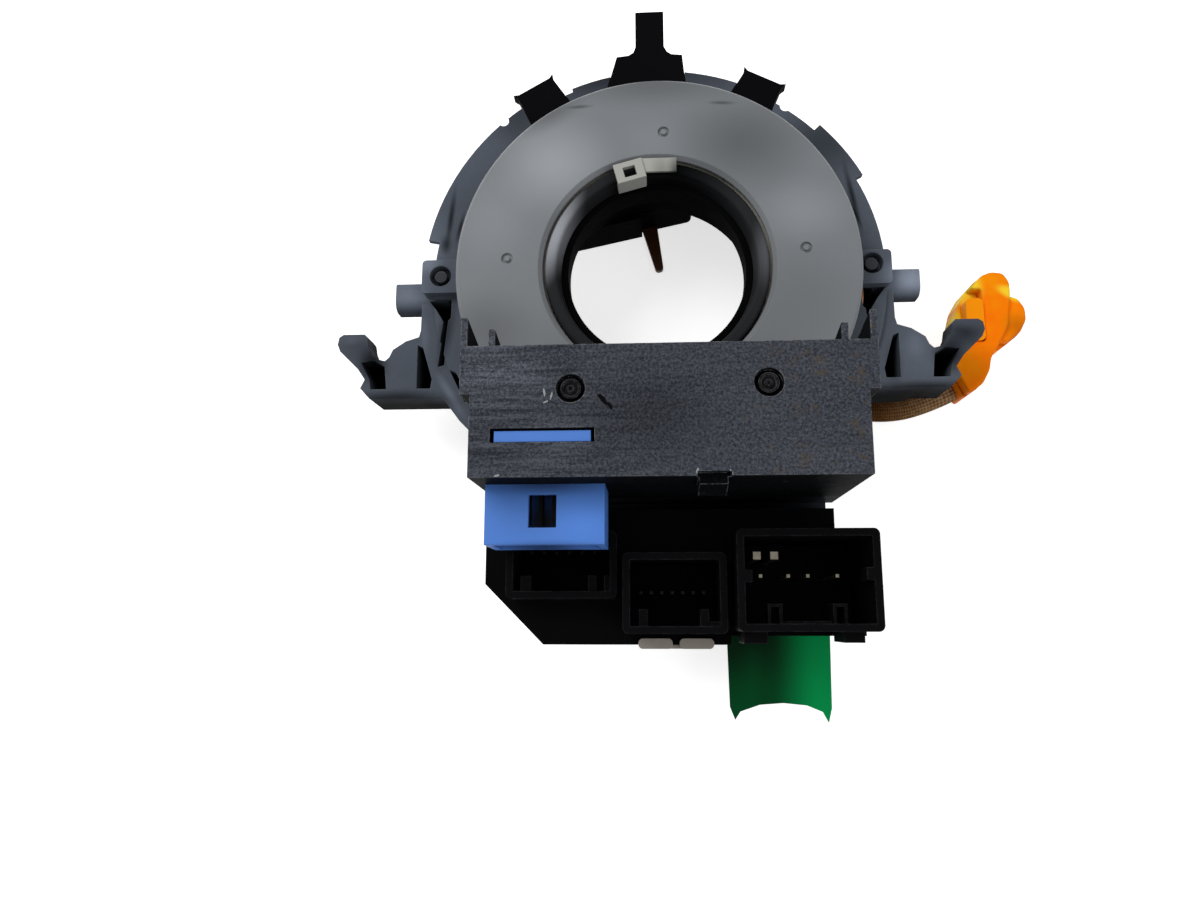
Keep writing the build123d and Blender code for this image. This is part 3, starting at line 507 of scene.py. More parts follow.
@dataclass(frozen=True)
class GrainedPlate(Finish):
    """Black box plastic with drawn streaks, spark-eroded specks, scratches and bright edges.

    Streaks show most on the left of the plate, a painted reflection of the light, and brown
    dirt lies on its right. Patches paint light and shade on the plate. Only the flat rear
    face, at the height of face in millimetres, takes the painted light; its sides are painted in shade.
    """

    colour: Colour = (0.021, 0.023, 0.029)
    # The pale colour of the streaks and specks, which also gives the painted sheen on the left of the plate.
    pale_grain_and_sheen: Colour = (0.086, 0.094, 0.114)
    scar: Colour = (0.36, 0.37, 0.38)
    smear: Colour = (0.004, 0.004, 0.005)
    dirt: Colour = (0.075, 0.058, 0.040)
    face: float = 38.6
    face_softness: float = 0.6
    # Painted shade: the sides of the box keep only this share of the colour.
    side_shade: float = 0.07
    gloss: float = 0.006
    roughness: float = 0.5
    roughness_spread: float = 0.2
    streak_scale: float = 620.0
    streak_stretch: Place = (0.12, 1.7, 1.0)
    # Painted reflection: from here towards the left the streaks show more.
    reflected_streaks_left: Pair = (4.0, -28.0)
    streak_share: float = 0.35
    left_reflection_share: float = 1.3
    speck_scale: float = 1900.0
    speck_share: float = 2.1
    middle_tone: float = 0.45
    dirt_right: Pair = (6.0, 30.0)
    dirt_scale: float = 420.0
    dirt_cut: Pair = (0.56, 0.68)
    dirt_share: float = 0.7
    rub_scale: float = 800.0
    rub_cut: Pair = (0.40, 0.62)
    rub_share: float = 0.7
    hair_scale: float = 230.0
    hair_stretch: Place = (1.0, 7.0, 1.0)
    hair_width: float = 0.005
    hair_break_scale: float = 110.0
    hair_cut: Pair = (0.57, 0.7)
    hair_share: float = 0.35
    burr_share: float = 0.8
    ragged_scale: float = 2400.0
    ragged_share: float = 0.9
    ragged_cut: Pair = (0.25, 0.5)
    grit_scale: float = 3000.0
    grit_share: float = 0.6
    rubbed: float = 0.3 * MM
    rounding: float = 0.25 * MM
    grain_depth: float = 0.06 * MM
    grain_strength: float = 0.6
    smudge_scale: float = 240.0
    burrs: tuple[Patch, ...] = (
        Patch(-20.9, -36.9, 0.32, 1.5, 1.0, 8.0), Patch(-19.6, -37.6, 0.28, 1.2, 1.0, -14.0),
        Patch(-20.6, -38.7, 0.9, 0.28, 1.0, 20.0), Patch(6.6, -51.7, 0.35, 0.9, 1.0, -20.0),
        Patch(-29.3, -52.2, 0.9, 0.3, 1.0, 10.0), Patch(12.6, -51.9, 0.3, 0.8, 1.0, 25.0),
    )
    smears: tuple[Patch, ...] = (
        Patch(-10.2, -38.4, 0.7, 2.6, 1.0, 40.0), Patch(-8.9, -39.6, 0.5, 1.4, 1.0, 30.0),
    )
    # Painted light and shade: lighter on the left and lower right of the plate, darker in its middle.
    patches: tuple[Patch, ...] = (
        Patch(-31.0, -33.0, 15.0, 9.0, 1.6), Patch(-2.0, -41.0, 18.0, 12.0, 0.62),
        Patch(28.0, -50.0, 16.0, 7.0, 1.12),
    )

    def coat(self, paint: Paint) -> None:
        """Feeds the finish into a material's shader.

        Args:
            paint: The material's nodes.
        """
        streaks = paint.noise(self.streak_scale, 4.0, 0.7, paint.stretched(self.streak_stretch))
        flat = paint.along(Axis.Z, self.face - self.face_softness, self.face)
        gain = flat * (1.0 - self.side_shade) + self.side_shade
        base = paint.shaded(self._grain(paint, streaks), self.patches, gain)
        base = paint.mix(self._ragged(paint, self.smears) * flat, base, self.smear)
        paint.feed("Base Color", paint.mix(self._marks(paint, flat), base, self.scar))
        paint.uneven(self.roughness, self.roughness_spread, self.smudge_scale)
        paint.feed("Specular IOR Level", self.gloss)
        grit = paint.noise(self.grit_scale, rough=0.7)
        height = grit * self.grit_share + streaks * (1.0 - self.grit_share)
        paint.bump(height, self.grain_depth, self.grain_strength, self.rounding)

    def _grain(self, paint: Paint, streaks: Sock) -> Sock:
        """Streaked and speckled plastic with brown dirt, and a painted reflection on the left.

        Args:
            paint: The material's nodes.
            streaks: Noise of the drawn streaks.

        Returns:
            The colour before shade.
        """
        specks = paint.noise(self.speck_scale, rough=0.75)
        # Streak contrast, with a painted reflection that grows towards the left.
        drawn = paint.along(Axis.X, *self.reflected_streaks_left) * self.left_reflection_share + self.streak_share
        tone = (streaks - 0.5) * drawn + (specks - 0.5) * self.speck_share + self.middle_tone
        base = paint.mix(tone.ramp(0.0, 1.0), self.colour, self.pale_grain_and_sheen)
        brown = paint.noise(self.dirt_scale, rough=0.8).ramp(*self.dirt_cut)
        share = paint.along(Axis.X, *self.dirt_right) * brown * self.dirt_share
        return paint.mix(share, base, self.dirt)

    def _marks(self, paint: Paint, flat: Sock) -> Sock:
        """Share of rubbed edges, hair scratches and burrs.

        Args:
            paint: The material's nodes.
            flat: 1 on the flat rear face.

        Returns:
            The share, from 0 to 1.
        """
        broken = paint.noise(self.rub_scale, rough=0.75).ramp(*self.rub_cut)
        rub = paint.edges(self.rubbed) * broken * self.rub_share
        hairs = paint.noise(self.hair_scale, 2.0, 0.5, paint.stretched(self.hair_stretch)) - 0.5
        parts = paint.noise(self.hair_break_scale, 2.0).ramp(*self.hair_cut)
        lines = hairs.size().ramp(self.hair_width, 0.0) * parts * self.hair_share
        burrs = self._ragged(paint, self.burrs) * flat * self.burr_share
        return rub.larger(lines).larger(burrs)

    def _ragged(self, paint: Paint, patches: tuple[Patch, ...]) -> Sock:
        """Share of the strongest of a set of patches, with ragged outlines."""
        rough = (paint.noise(self.ragged_scale, 2.0) - 0.5) * self.ragged_share
        return (paint.strongest(patches) + rough).ramp(*self.ragged_cut)


@dataclass(frozen=True)
class WovenSleeve(Finish):
    """Tan sleeve of the lead, woven round the tube, paler and better lit towards the plug.

    Rings and threads are the weave's turns along the lead and round it.
    """

    shaded_thread: Colour = (0.038, 0.012, 0.002)
    tan: Colour = (0.160, 0.070, 0.022)
    pale: Colour = (0.40, 0.25, 0.13)
    rings: float = 92.0
    threads: float = 9.0
    pale_from: Pair = (52.0, 73.0)
    lit_from: Pair = (46.0, 60.0)
    fray_scale: float = 700.0
    weave_share: float = 0.45
    fray_share: float = 0.8
    tone_cut: Pair = (0.15, 0.95)
    dim: float = 0.25
    roughness: float = 0.7
    gloss: float = 0.005
    relief: float = 0.25 * MM
    relief_strength: float = 0.7

    def coat(self, paint: Paint) -> None:
        """Feeds the finish into a material's shader.

        Args:
            paint: The material's nodes.
        """
        plan = paint.node("ShaderNodeTexCoord", {}, {}, "UV")
        along, around = (
            paint.node("ShaderNodeSeparateXYZ", {}, {0: plan}, axis.value) * (turns * math.tau)
            for axis, turns in ((Axis.X, self.rings), (Axis.Y, self.threads)))
        weave = (along + around).sine() * (along - around).sine() * 0.5 + 0.5
        fray = paint.noise(self.fray_scale, rough=0.7)
        lit = paint.along(Axis.X, *self.lit_from) * (1.0 - self.dim) + self.dim
        tone = (weave * self.weave_share + fray * self.fray_share).ramp(*self.tone_cut) * lit
        thread = paint.mix(paint.along(Axis.X, *self.pale_from), self.tan, self.pale)
        paint.feed("Base Color", paint.mix(tone, self.shaded_thread, thread))
        paint.feed("Roughness", self.roughness)
        paint.feed("Specular IOR Level", self.gloss)
        paint.bump(weave * 0.7 + fray * 0.3, self.relief, self.relief_strength)


@dataclass(frozen=True)
class PlugPlastic(Finish):
    """Orange plastic of the plug, with painted light: yellow where the light falls on its upper lobes."""

    orange: Colour = (1.0, 0.190, 0.0005)
    amber: Colour = (1.0, 0.290, 0.001)
    yellow: Colour = (1.0, 0.66, 0.03)
    roughness: float = 0.44
    roughness_spread: float = 0.2
    smudge_scale: float = 300.0
    gloss: float = 0.04
    cloud_scale: float = 130.0
    cloud_share: float = 0.4
    amber_cut: Pair = (0.3, 0.75)
    yellow_cut: Pair = (0.1, 0.9)
    grain_scale: float = 900.0
    grain_depth: float = 0.06 * MM
    grain_strength: float = 0.5
    rounding: float = 0.9 * MM
    # Painted light: the yellow on the upper lobes.
    lit: tuple[Patch, ...] = (
        Patch(76.5, 1.5, 5.0, 7.0), Patch(86.0, 0.5, 6.0, 2.6, 1.0, -25.0),
        Patch(74.0, -6.0, 3.0, 7.0, 1.0, 5.0),
    )
    # Painted shade: darker on the right lobe and at the low end near the lead.
    patches: tuple[Patch, ...] = (
        Patch(87.0, -7.5, 5.0, 5.0, 0.66), Patch(77.5, -25.0, 6.0, 2.4, 0.70, 25.0),
    )

    def coat(self, paint: Paint) -> None:
        """Feeds the finish into a material's shader.

        Args:
            paint: The material's nodes.
        """
        clouds = paint.noise(self.cloud_scale)
        base = paint.mix(clouds.ramp(*self.amber_cut), self.orange, self.amber)
        lit = paint.strongest(self.lit) + (clouds - 0.5) * self.cloud_share
        base = paint.mix(lit.ramp(*self.yellow_cut), base, self.yellow)
        paint.feed("Base Color", paint.shaded(base, self.patches))
        paint.uneven(self.roughness, self.roughness_spread, self.smudge_scale)
        paint.feed("Specular IOR Level", self.gloss)
        grain = paint.noise(self.grain_scale, rough=0.6)
        paint.bump(grain, self.grain_depth, self.grain_strength, self.rounding)


@dataclass(frozen=True)
class Film(Finish):
    """Thin green film with painted light: brighter to the right and down, in millimetres, and painted light and
    shade along its soft creases.
    """

    dark: Colour = (0.0004, 0.020, 0.005)
    bright: Colour = (0.001, 0.360, 0.092)
    across: Pair = (24.5, 35.2)
    down: Pair = (-82.0, -94.0)
    across_share: float = 0.8
    down_share: float = 0.12
    crease_share: float = 0.35
    roughness: float = 0.30
    gloss: float = 0.04
    crease_scale: float = 60.0
    crease_stretch: Place = (1.0, 0.4, 1.0)
    crease_depth: float = 0.5 * MM
    crease_strength: float = 0.6

    def coat(self, paint: Paint) -> None:
        """Feeds the finish into a material's shader.

        Args:
            paint: The material's nodes.
        """
        creases = paint.noise(self.crease_scale, 3.0, 0.5, paint.stretched(self.crease_stretch))
        # Painted light: the film grows brighter across and down.
        across = paint.along(Axis.X, *self.across) * self.across_share
        down = paint.along(Axis.Y, *self.down) * self.down_share
        tone = across + down + (creases - 0.5) * self.crease_share
        paint.feed("Base Color", paint.mix(tone, self.dark, self.bright))
        paint.feed("Roughness", self.roughness)
        paint.feed("Specular IOR Level", self.gloss)
        paint.bump(creases, self.crease_depth, self.crease_strength)


@dataclass(frozen=True)
class Metal(Finish):
    """Plated contact metal with a slight tarnish."""

    colour: Colour
    tarnish: Colour
    roughness: float = 0.32
    roughness_spread: float = 0.2
    smudge_scale: float = 400.0
    tarnish_scale: float = 700.0
    grain_scale: float = 2000.0
    grain_depth: float = 0.02 * MM
    grain_strength: float = 0.4

    def coat(self, paint: Paint) -> None:
        """Feeds the finish into a material's shader.

        Args:
            paint: The material's nodes.
        """
        bright = paint.noise(self.tarnish_scale)
        paint.feed("Base Color", paint.mix(bright, self.tarnish, self.colour))
        paint.feed("Metallic", 1.0)
        paint.uneven(self.roughness, self.roughness_spread, self.smudge_scale)
        paint.bump(paint.noise(self.grain_scale), self.grain_depth, self.grain_strength)


# Painted light and shade on the housing: highlights on the lugs, ears and ribs, and painted shade in the rivet
# recesses, hook hollows, grooves and along the low walls.
HOUSING_LIGHT_AND_SHADE = (
    Patch(-50.2, 1.0, 3.3, 3.3, 0.08), Patch(48.7, 1.8, 3.3, 3.3, 0.08),
    Patch(-54.0, 4.0, 5.0, 3.5, 1.6), Patch(-59.0, -2.0, 8.0, 6.0, 1.95),
    Patch(58.0, -1.0, 9.0, 6.0, 2.9), Patch(58.0, -19.0, 12.0, 9.0, 1.25),
    Patch(-58.0, -21.0, 9.0, 7.0, 0.92), Patch(-70.0, -14.0, 8.0, 8.0, 0.70),
    Patch(69.5, -13.5, 8.0, 7.0, 0.32), Patch(66.0, -19.0, 5.0, 6.0, 0.45),
    Patch(-66.5, -18.0, 4.5, 6.0, 0.35),
    Patch(-62.0, -28.3, 22.0, 3.4, 0.10), Patch(60.0, -27.4, 22.0, 3.2, 0.14),
    Patch(-8.0, 53.5, 46.0, 12.0, 0.26), Patch(-33.0, 44.0, 13.0, 11.0, 0.52),
    Patch(40.0, 33.0, 16.0, 13.0, 0.45), Patch(-53.0, 9.0, 6.0, 12.0, 1.5),
    Patch(4.0, -54.0, 60.0, 8.0, 0.03), Patch(20.0, -53.0, 30.0, 6.0, 0.1),
    Patch(-49.2, -12.0, 2.6, 12.0, 0.40, -10.0), Patch(-66.8, -19.5, 5.0, 6.5, 0.30, 20.0),
    Patch(-48.0, -26.5, 1.6, 9.0, 1.7, 32.0), Patch(-54.6, -12.0, 1.6, 8.0, 1.35, 4.0),
    Patch(-60.4, -26.6, 14.0, 2.4, 0.55), Patch(65.4, -18.6, 5.0, 5.5, 0.35, -20.0),
    Patch(53.2, -20.5, 2.8, 7.0, 0.50), Patch(58.2, -16.0, 3.0, 5.0, 1.30),
    Patch(-49.8, 9.8, 2.0, 3.5, 0.35), Patch(69.6, -11.6, 4.5, 2.2, 1.6, -10.0),
    Patch(-71.4, -12.6, 4.5, 2.0, 1.35, 8.0), Patch(60.0, -26.6, 14.0, 2.4, 0.5),
    Patch(-48.8, 16.8, 1.1, 10.0, 0.22, -6.0), Patch(-46.5, 14.0, 0.8, 5.5, 0.25, -12.5),
    Patch(45.7, 19.3, 1.1, 11.5, 0.22, 10.2), Patch(46.2, 14.9, 0.8, 5.0, 0.25, 20.0),
)
# Painted light and shade on the back cover: lighter to the upper left, darker at the top middle, and painted shade
# at two small steps on its top edge.
COVER_LIGHT_AND_SHADE = (
    Patch(-23.0, 25.0, 17.0, 15.0, 1.62), Patch(20.0, 29.0, 21.0, 16.0, 0.60),
    Patch(33.0, 12.0, 14.0, 10.0, 1.28), Patch(-37.0, 12.0, 12.0, 14.0, 1.18),
    Patch(0.0, 44.0, 30.0, 7.0, 0.66), Patch(-24.0, 38.0, 12.0, 5.0, 0.62, 32.0),
    Patch(31.0, -9.0, 20.0, 18.0, 0.84), Patch(-38.0, -14.0, 14.0, 12.0, 0.70),
    Patch(0.0, 30.0, 12.0, 9.0, 1.1),
    Patch(-17.4, 39.0, 4.2, 0.7, 0.45, 3.0), Patch(15.3, 38.8, 4.2, 0.7, 0.45, -3.0),
)
# Painted highlight on the left lip of the sleeve and a lesser one on the right, and painted shade at its top.
SLEEVE_LIGHT_AND_SHADE = (
    Patch(-22.8, 8.0, 5.0, 18.0, 15.0, -20.0), Patch(24.5, 3.0, 4.0, 12.0, 4.0),
    Patch(5.0, 25.0, 24.0, 16.0, 0.10),
)
# Painted shade, darkest towards the right of the clip's strip.
CLIP_SHADE = (Patch(4.6, 21.0, 2.6, 7.0, 0.12), Patch(1.4, 21.0, 3.6, 7.0, 0.60))
# Painted light and shade on the blue connector: lighter on its top, darker on its front face and along its top
# edge where it meets the box, and painted shade inside its window.
BLUE_LIGHT_AND_SHADE = (
    Patch(-14.5, -59.0, 11.0, 7.0, 1.30), Patch(-21.0, -65.0, 17.0, 2.4, 0.30),
    Patch(-21.8, -52.4, 18.0, 3.0, 0.30),
)
BLUE_WINDOW_SHADE = Well(Patch(-23.2, -58.5, 12.0, 11.0, 0.0), top=28.0)


class Surface(Enum):
    """Every finish of the part: plastics with their colour, rubbed colour and roughness."""

    HOUSING = Moulded(
        "charcoal_plastic", (0.084, 0.097, 0.121), (0.26, 0.27, 0.28), 0.44, mottle=0.3,
        gloss=0.003, patches=HOUSING_LIGHT_AND_SHADE, fade=Fade(-3.0, -10.5, 0.04))
    COVER = Moulded(
        "grey_plastic", (0.185, 0.196, 0.208), (0.30, 0.30, 0.29), 0.40, mottle=0.14,
        wear=0.12, gloss=0.12, patches=COVER_LIGHT_AND_SHADE, fade=Fade(7.4, 2.0, 0.25))
    SLEEVE = Moulded(
        "sleeve_plastic", (0.020, 0.021, 0.023), (0.10, 0.10, 0.10), 0.34, mottle=0.2,
        gloss=0.01, patches=SLEEVE_LIGHT_AND_SHADE)
    ROTOR = Moulded(
        "rotor_plastic", (0.0016, 0.0015, 0.0016), (0.006, 0.006, 0.006), 0.6, gloss=0.004)
    CASE = Moulded("case_plastic", (0.0022, 0.0020, 0.0027), (0.02, 0.02, 0.022), 0.5, gloss=0.006)
    BLOCK = Moulded(
        "black_plastic", (0.0022, 0.0022, 0.0027), (0.042, 0.043, 0.048), 0.42, wear=0.6,
        gloss=0.015, fade=Fade(17.0, 2.0, 0.3))
    BOX = GrainedPlate("grained_plastic")
    BASE = Moulded("base_plastic", (0.006, 0.006, 0.007), (0.04, 0.04, 0.04), gloss=0.01)
    # The stakes' rubbed edges also give the bright arcs round their heads: partly wear, partly painted highlight.
    STAKE = Moulded(
        "stake_plastic", (0.005, 0.005, 0.006), (0.16, 0.16, 0.17), 0.34, wear=0.6, gloss=0.03)
    RIVET = Moulded("rivet_plastic", (0.040, 0.044, 0.050), (0.25, 0.25, 0.25), 0.35, gloss=0.02)
    BLUE = Moulded(
        "blue_plastic", (0.073, 0.202, 0.605), (0.20, 0.36, 0.78), 0.46, mottle=0.14,
        patches=BLUE_LIGHT_AND_SHADE, well=BLUE_WINDOW_SHADE)
    CREAM = Moulded("cream_plastic", (0.30, 0.27, 0.235), (0.55, 0.50, 0.44), mottle=0.3)
    CLIP = Moulded(
        "clip_plastic", (0.36, 0.36, 0.33), (0.62, 0.60, 0.54), 0.42, mottle=0.15,
        patches=CLIP_SHADE)
    GEAR = Moulded("acetal", (0.50, 0.48, 0.42), (0.62, 0.6, 0.55), 0.4, mottle=0.1)
    PLUG = PlugPlastic("orange_plastic")
    LOCK = Moulded(
        "yellow_plastic", (1.0, 0.30, 0.002), (1.0, 0.50, 0.03), 0.42, mottle=0.1, gloss=0.04)
    TONGUE = Moulded("amber_plastic", (0.050, 0.014, 0.003), (0.4, 0.2, 0.06), 0.4)
    BOARD = Moulded("board_laminate", (0.01, 0.085, 0.03), (0.1, 0.2, 0.1), 0.35)
    FILM = Film("green_film")
    LEAD = WovenSleeve("woven_sleeve")
    PINS = Metal("tinned_contact", (0.24, 0.22, 0.18), (0.08, 0.07, 0.055))
    SHADED_PINS = Metal("shaded_contact", (0.010, 0.009, 0.008), (0.003, 0.003, 0.002), 0.5)
    COPPER = Metal("film_conductor", (0.60, 0.28, 0.12), (0.35, 0.15, 0.07))
    MAGNET = Metal("plated_magnet", (0.35, 0.35, 0.37), (0.2, 0.2, 0.2))


NODE_SURFACES = {
    "front_case": Surface.CASE, "stator_housing": Surface.HOUSING, "lug_rivets": Surface.RIVET,
    "back_cover": Surface.COVER, "ribbon_cable": Surface.COPPER,
    "cable_outer_terminal": Surface.ROTOR, "cable_inner_terminal": Surface.ROTOR,
    "sensor_box": Surface.BOX, "box_base": Surface.BASE, "sensor_board": Surface.BOARD,
    "box_stakes": Surface.STAKE, "blue_connector": Surface.BLUE,
    "blue_connector_pins": Surface.SHADED_PINS, "connector_block": Surface.BLOCK,
    "left_socket_pins": Surface.SHADED_PINS, "middle_socket_pins": Surface.SHADED_PINS,
    "right_socket_pins": Surface.PINS, "green_tab": Surface.FILM,
    "pale_connector": Surface.CREAM, "rotor_hub": Surface.ROTOR, "rotor_sleeve": Surface.SLEEVE,
    "sensor_drive_gear": Surface.GEAR, "index_clip": Surface.CLIP,
    "connector_tower": Surface.ROTOR, "tower_pins": Surface.PINS,
    "contact_tongue": Surface.TONGUE, "lead_gland": Surface.ROTOR, "airbag_lead": Surface.LEAD,
    "airbag_plug": Surface.PLUG, "plug_lock": Surface.LOCK, "measuring_gear_a": Surface.GEAR,
    "measuring_gear_b": Surface.GEAR, "magnet_a": Surface.MAGNET, "magnet_b": Surface.MAGNET,
}


class Finishes:
    """The materials of every finish, which the frame's nodes and the new pieces share."""

    def __init__(self) -> None:
        """Builds the materials."""
        self.materials = {surface: surface.value.material() for surface in Surface}

    def __getitem__(self, surface: Surface) -> bpy.types.Material:
        """Material of one finish."""
        return self.materials[surface]

    def dress(self, nodes: dict[str, bpy.types.Object]) -> None:
        """Gives each node of the frame its finish.

        Args:
            nodes: The frame's objects by name.
        """
        for name, node in nodes.items():
            material = self[NODE_SURFACES[name]]
            for slot in node.material_slots:
                slot.material = material
            LOG.info("%s wears %s", name, material.name)


@dataclass(frozen=True)
class AirbagLead:
    """The lead to the airbag's orange plug: one smooth cord on the table.

    Its route is in millimetres, its radius, height and length in metres.
    """

    radius: float = 2.5 * MM
    height: float = -25.45 * MM
    length: float = 0.1152
    rim_steps: int = 6
    run_steps: int = 16
    route: Outline = (
        (10.75, 36.02), (18.57, 37.69), (29.5, 35.0), (38.0, 28.0), (41.0, 18.5), (39.5, 9.0),
        (36.5, 0.0), (35.5, -9.6), (38.4, -18.8), (45.6, -25.2), (55.2, -27.2), (64.8, -25.6),
        (72.8, -21.8),
    )

    def build(self, finish: bpy.types.Material, pieces: list[bpy.types.Object]) -> None:
        """Makes the cord along its route.

        Args:
            finish: Material of the sleeve.
            pieces: The plug and its lock; not used.
        """
        cord = bpy.data.objects.new("airbag_lead_cord", self._curve(finish))
        bpy.context.collection.objects.link(cord)
        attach(cord, Body.ROTOR.value)
        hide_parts("airbag_lead")
        LOG.info("%s wears %s", cord.name, finish.name)

    def _curve(self, finish: bpy.types.Material) -> bpy.types.Curve:
        """Round tube on a NURBS spline through the route's control points.

        Args:
            finish: Material of the sleeve.

        Returns:
            The curve.
        """
        curve = bpy.data.curves.new("airbag_lead_cord", "CURVE")
        curve.dimensions = "3D"
        curve.bevel_depth = self.radius
        curve.bevel_resolution = self.rim_steps
        curve.resolution_u = self.run_steps
        curve.use_fill_caps = True
        spline = curve.splines.new("NURBS")
        spline.points.add(len(self.route) - 1)
        for point, (x, y) in zip(spline.points, self.route):
            point.co = (x * MM, y * MM, self.height, 1.0)
        spline.order_u = 3
        spline.use_endpoint_u = True
        curve.materials.append(finish)
        return curve


def extruded(mesh: bmesh.types.BMesh, corners: list[Place],
             way: Place) -> list[bmesh.types.BMVert]:
    """Adds a closed prism by drawing out one face.

    Args:
        mesh: Mesh that takes the prism.
        corners: Corners of the face in metres.
        way: How far the face is drawn, in metres.

    Returns:
        The corners of the far end.
    """
    base = mesh.faces.new([mesh.verts.new(corner) for corner in corners])
    grown = bmesh.ops.extrude_face_region(mesh, geom=[base])["geom"]
    ends = [item for item in grown if isinstance(item, bmesh.types.BMVert)]
    bmesh.ops.translate(mesh, vec=way, verts=ends)
    return ends


def finished_piece(name: str, mesh: bmesh.types.BMesh, finish: bpy.types.Material, body: Body) -> bpy.types.Object:
    """Turns a mesh into a piece that rides on a body.

    Args:
        name: Name of the piece.
        mesh: Its shape, which is freed.
        finish: Its material.
        body: Body of the frame that it rides on.

    Returns:
        The piece.
    """
    bmesh.ops.recalc_face_normals(mesh, faces=mesh.faces)
    for face in mesh.faces:
        face.smooth = len(face.verts) == 4
    data = bpy.data.meshes.new(name)
    mesh.to_mesh(data)
    mesh.free()
    data.materials.append(finish)
    piece = bpy.data.objects.new(name, data)
    bpy.context.collection.objects.link(piece)
    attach(piece, body.value)
    LOG.info("%s wears %s", name, finish.name)
    return piece


@dataclass(frozen=True)
class Layer:
    """One upright layer of the plug, with round corners and a round upper rim.

    All sizes are in millimetres, and the outline is drawn from the end of the lead.
    """

    low: float
    high: float
    rim: float
    outline: Outline
    corner: float = 0.75
    slack: float = 0.001

    def mesh(self, origin: Pair) -> bpy.types.Mesh:
        """Makes the layer's shape.

        Args:
            origin: Place of the lead's end.

        Returns:
            The mesh data.
        """
        mesh = bmesh.new()
        corners = [((x + origin[0]) * MM, (y + origin[1]) * MM, self.low * MM)
                   for x, y in self.outline]
        tops = extruded(mesh, corners, (0.0, 0.0, (self.high - self.low) * MM))
        uprights = [edge for top in tops for edge in top.link_edges
                    if edge.other_vert(top) not in tops]
        self._round(mesh, uprights, self.corner)
        lids = [face for face in mesh.faces
                if face.calc_center_median().z > (self.high - self.slack) * MM]
        self._round(mesh, list({edge for face in lids for edge in face.edges}), self.rim)
        data = bpy.data.meshes.new("plug_layer")
        mesh.to_mesh(data)
        mesh.free()
        return data

    def _round(self, mesh: bmesh.types.BMesh, edges: list[bmesh.types.BMEdge],
               radius: float) -> None:
        """Rounds edges to a radius in millimetres."""
        bmesh.ops.bevel(mesh, geom=edges, offset=radius * MM, affect="EDGES", segments=4,
                        profile=0.5, material=-1, clamp_overlap=True)


@dataclass(frozen=True)
class PlugBody:
    """The airbag's orange plug, drawn from the end of its lead, in millimetres.

    Its lower half carries an upper part with the open slot of the lock, and a lower lobe.
    """

    end: Pair = (72.8, -21.8)
    lower: Layer = Layer(-28.0, -20.0, 0.1, (
        (-1.4, 2.9), (-1.5, 5.4), (0.6, 16.9), (1.6, 20.6), (3.8, 24.4), (6.2, 26.9), (8.8, 27.9),
        (11.8, 27.5), (13.1, 25.2), (13.3, 22.5), (15.4, 21.5), (16.9, 18.9), (17.0, 15.9),
        (15.4, 12.7), (12.0, 10.0), (8.8, 8.0), (7.4, 6.0), (6.9, 3.0), (5.0, -0.4), (1.4, -2.9),
    ))
    upper: Layer = Layer(-20.4, -16.5, 0.7, (
        (-1.3, 3.3), (-1.4, 5.6), (-0.6, 10.2), (6.3, 10.2), (6.3, 23.6), (3.6, 23.6),
        (6.3, 26.8), (8.8, 27.8), (11.7, 27.4), (13.0, 25.2), (13.1, 22.4), (12.4, 18.0),
        (11.9, 14.0), (8.7, 8.2), (7.3, 6.1), (6.7, 3.0), (4.9, -0.3), (1.6, -2.6),
    ))
    lobe: Layer = Layer(-20.4, -17.5, 0.9, (
        (9.6, 21.0), (12.4, 22.3), (15.3, 21.4), (16.8, 18.9), (16.9, 15.9), (15.3, 12.8),
        (12.0, 10.2), (9.0, 10.4), (8.4, 15.6),
    ))

    def build(self, finish: bpy.types.Material) -> bpy.types.Object:
        """Makes the plug in place of its CAD solid.

        Args:
            finish: Material of the plug.

        Returns:
            The plug's object.
        """
        mesh = bmesh.new()
        for layer in (self.lower, self.upper, self.lobe):
            data = layer.mesh(self.end)
            mesh.from_mesh(data)
            bpy.data.meshes.remove(data)
        plug = finished_piece("plug_body", mesh, finish, Body.ROTOR)
        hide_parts("airbag_plug")
        return plug


@dataclass(frozen=True)
class WingWall:
    """Sloping lower wall of the right wing, which widens from the face to the front.

    Span and profile are in millimetres. The outer end is thinner, by the taper.
    """

    span: Pair = (44.2, 58.6)
    profile: Outline = ((-26.1, -3.2), (-27.7, -13.9), (-25.6, -13.9), (-25.6, -3.2))
    taper: float = 0.6
    corner: float = 0.25

    def build(self, finish: bpy.types.Material) -> bpy.types.Object:
        """Makes the wall.

        Args:
            finish: Material of the housing.

        Returns:
            The wall's object.
        """
        mesh = bmesh.new()
        near, far = self.span
        corners = [(near * MM, y * MM, z * MM) for y, z in self.profile]
        ends = extruded(mesh, corners, ((far - near) * MM, 0.0, 0.0))
        inner = Matrix.Translation((0.0, -self.profile[-1][0] * MM, 0.0))
        bmesh.ops.scale(mesh, vec=(1.0, self.taper, 1.0), space=inner, verts=ends)
        bmesh.ops.bevel(mesh, geom=list(mesh.edges), offset=self.corner * MM, affect="EDGES",
                        segments=2, profile=0.5, material=-1)
        return finished_piece("right_wing_wall", mesh, finish, Body.STATOR)


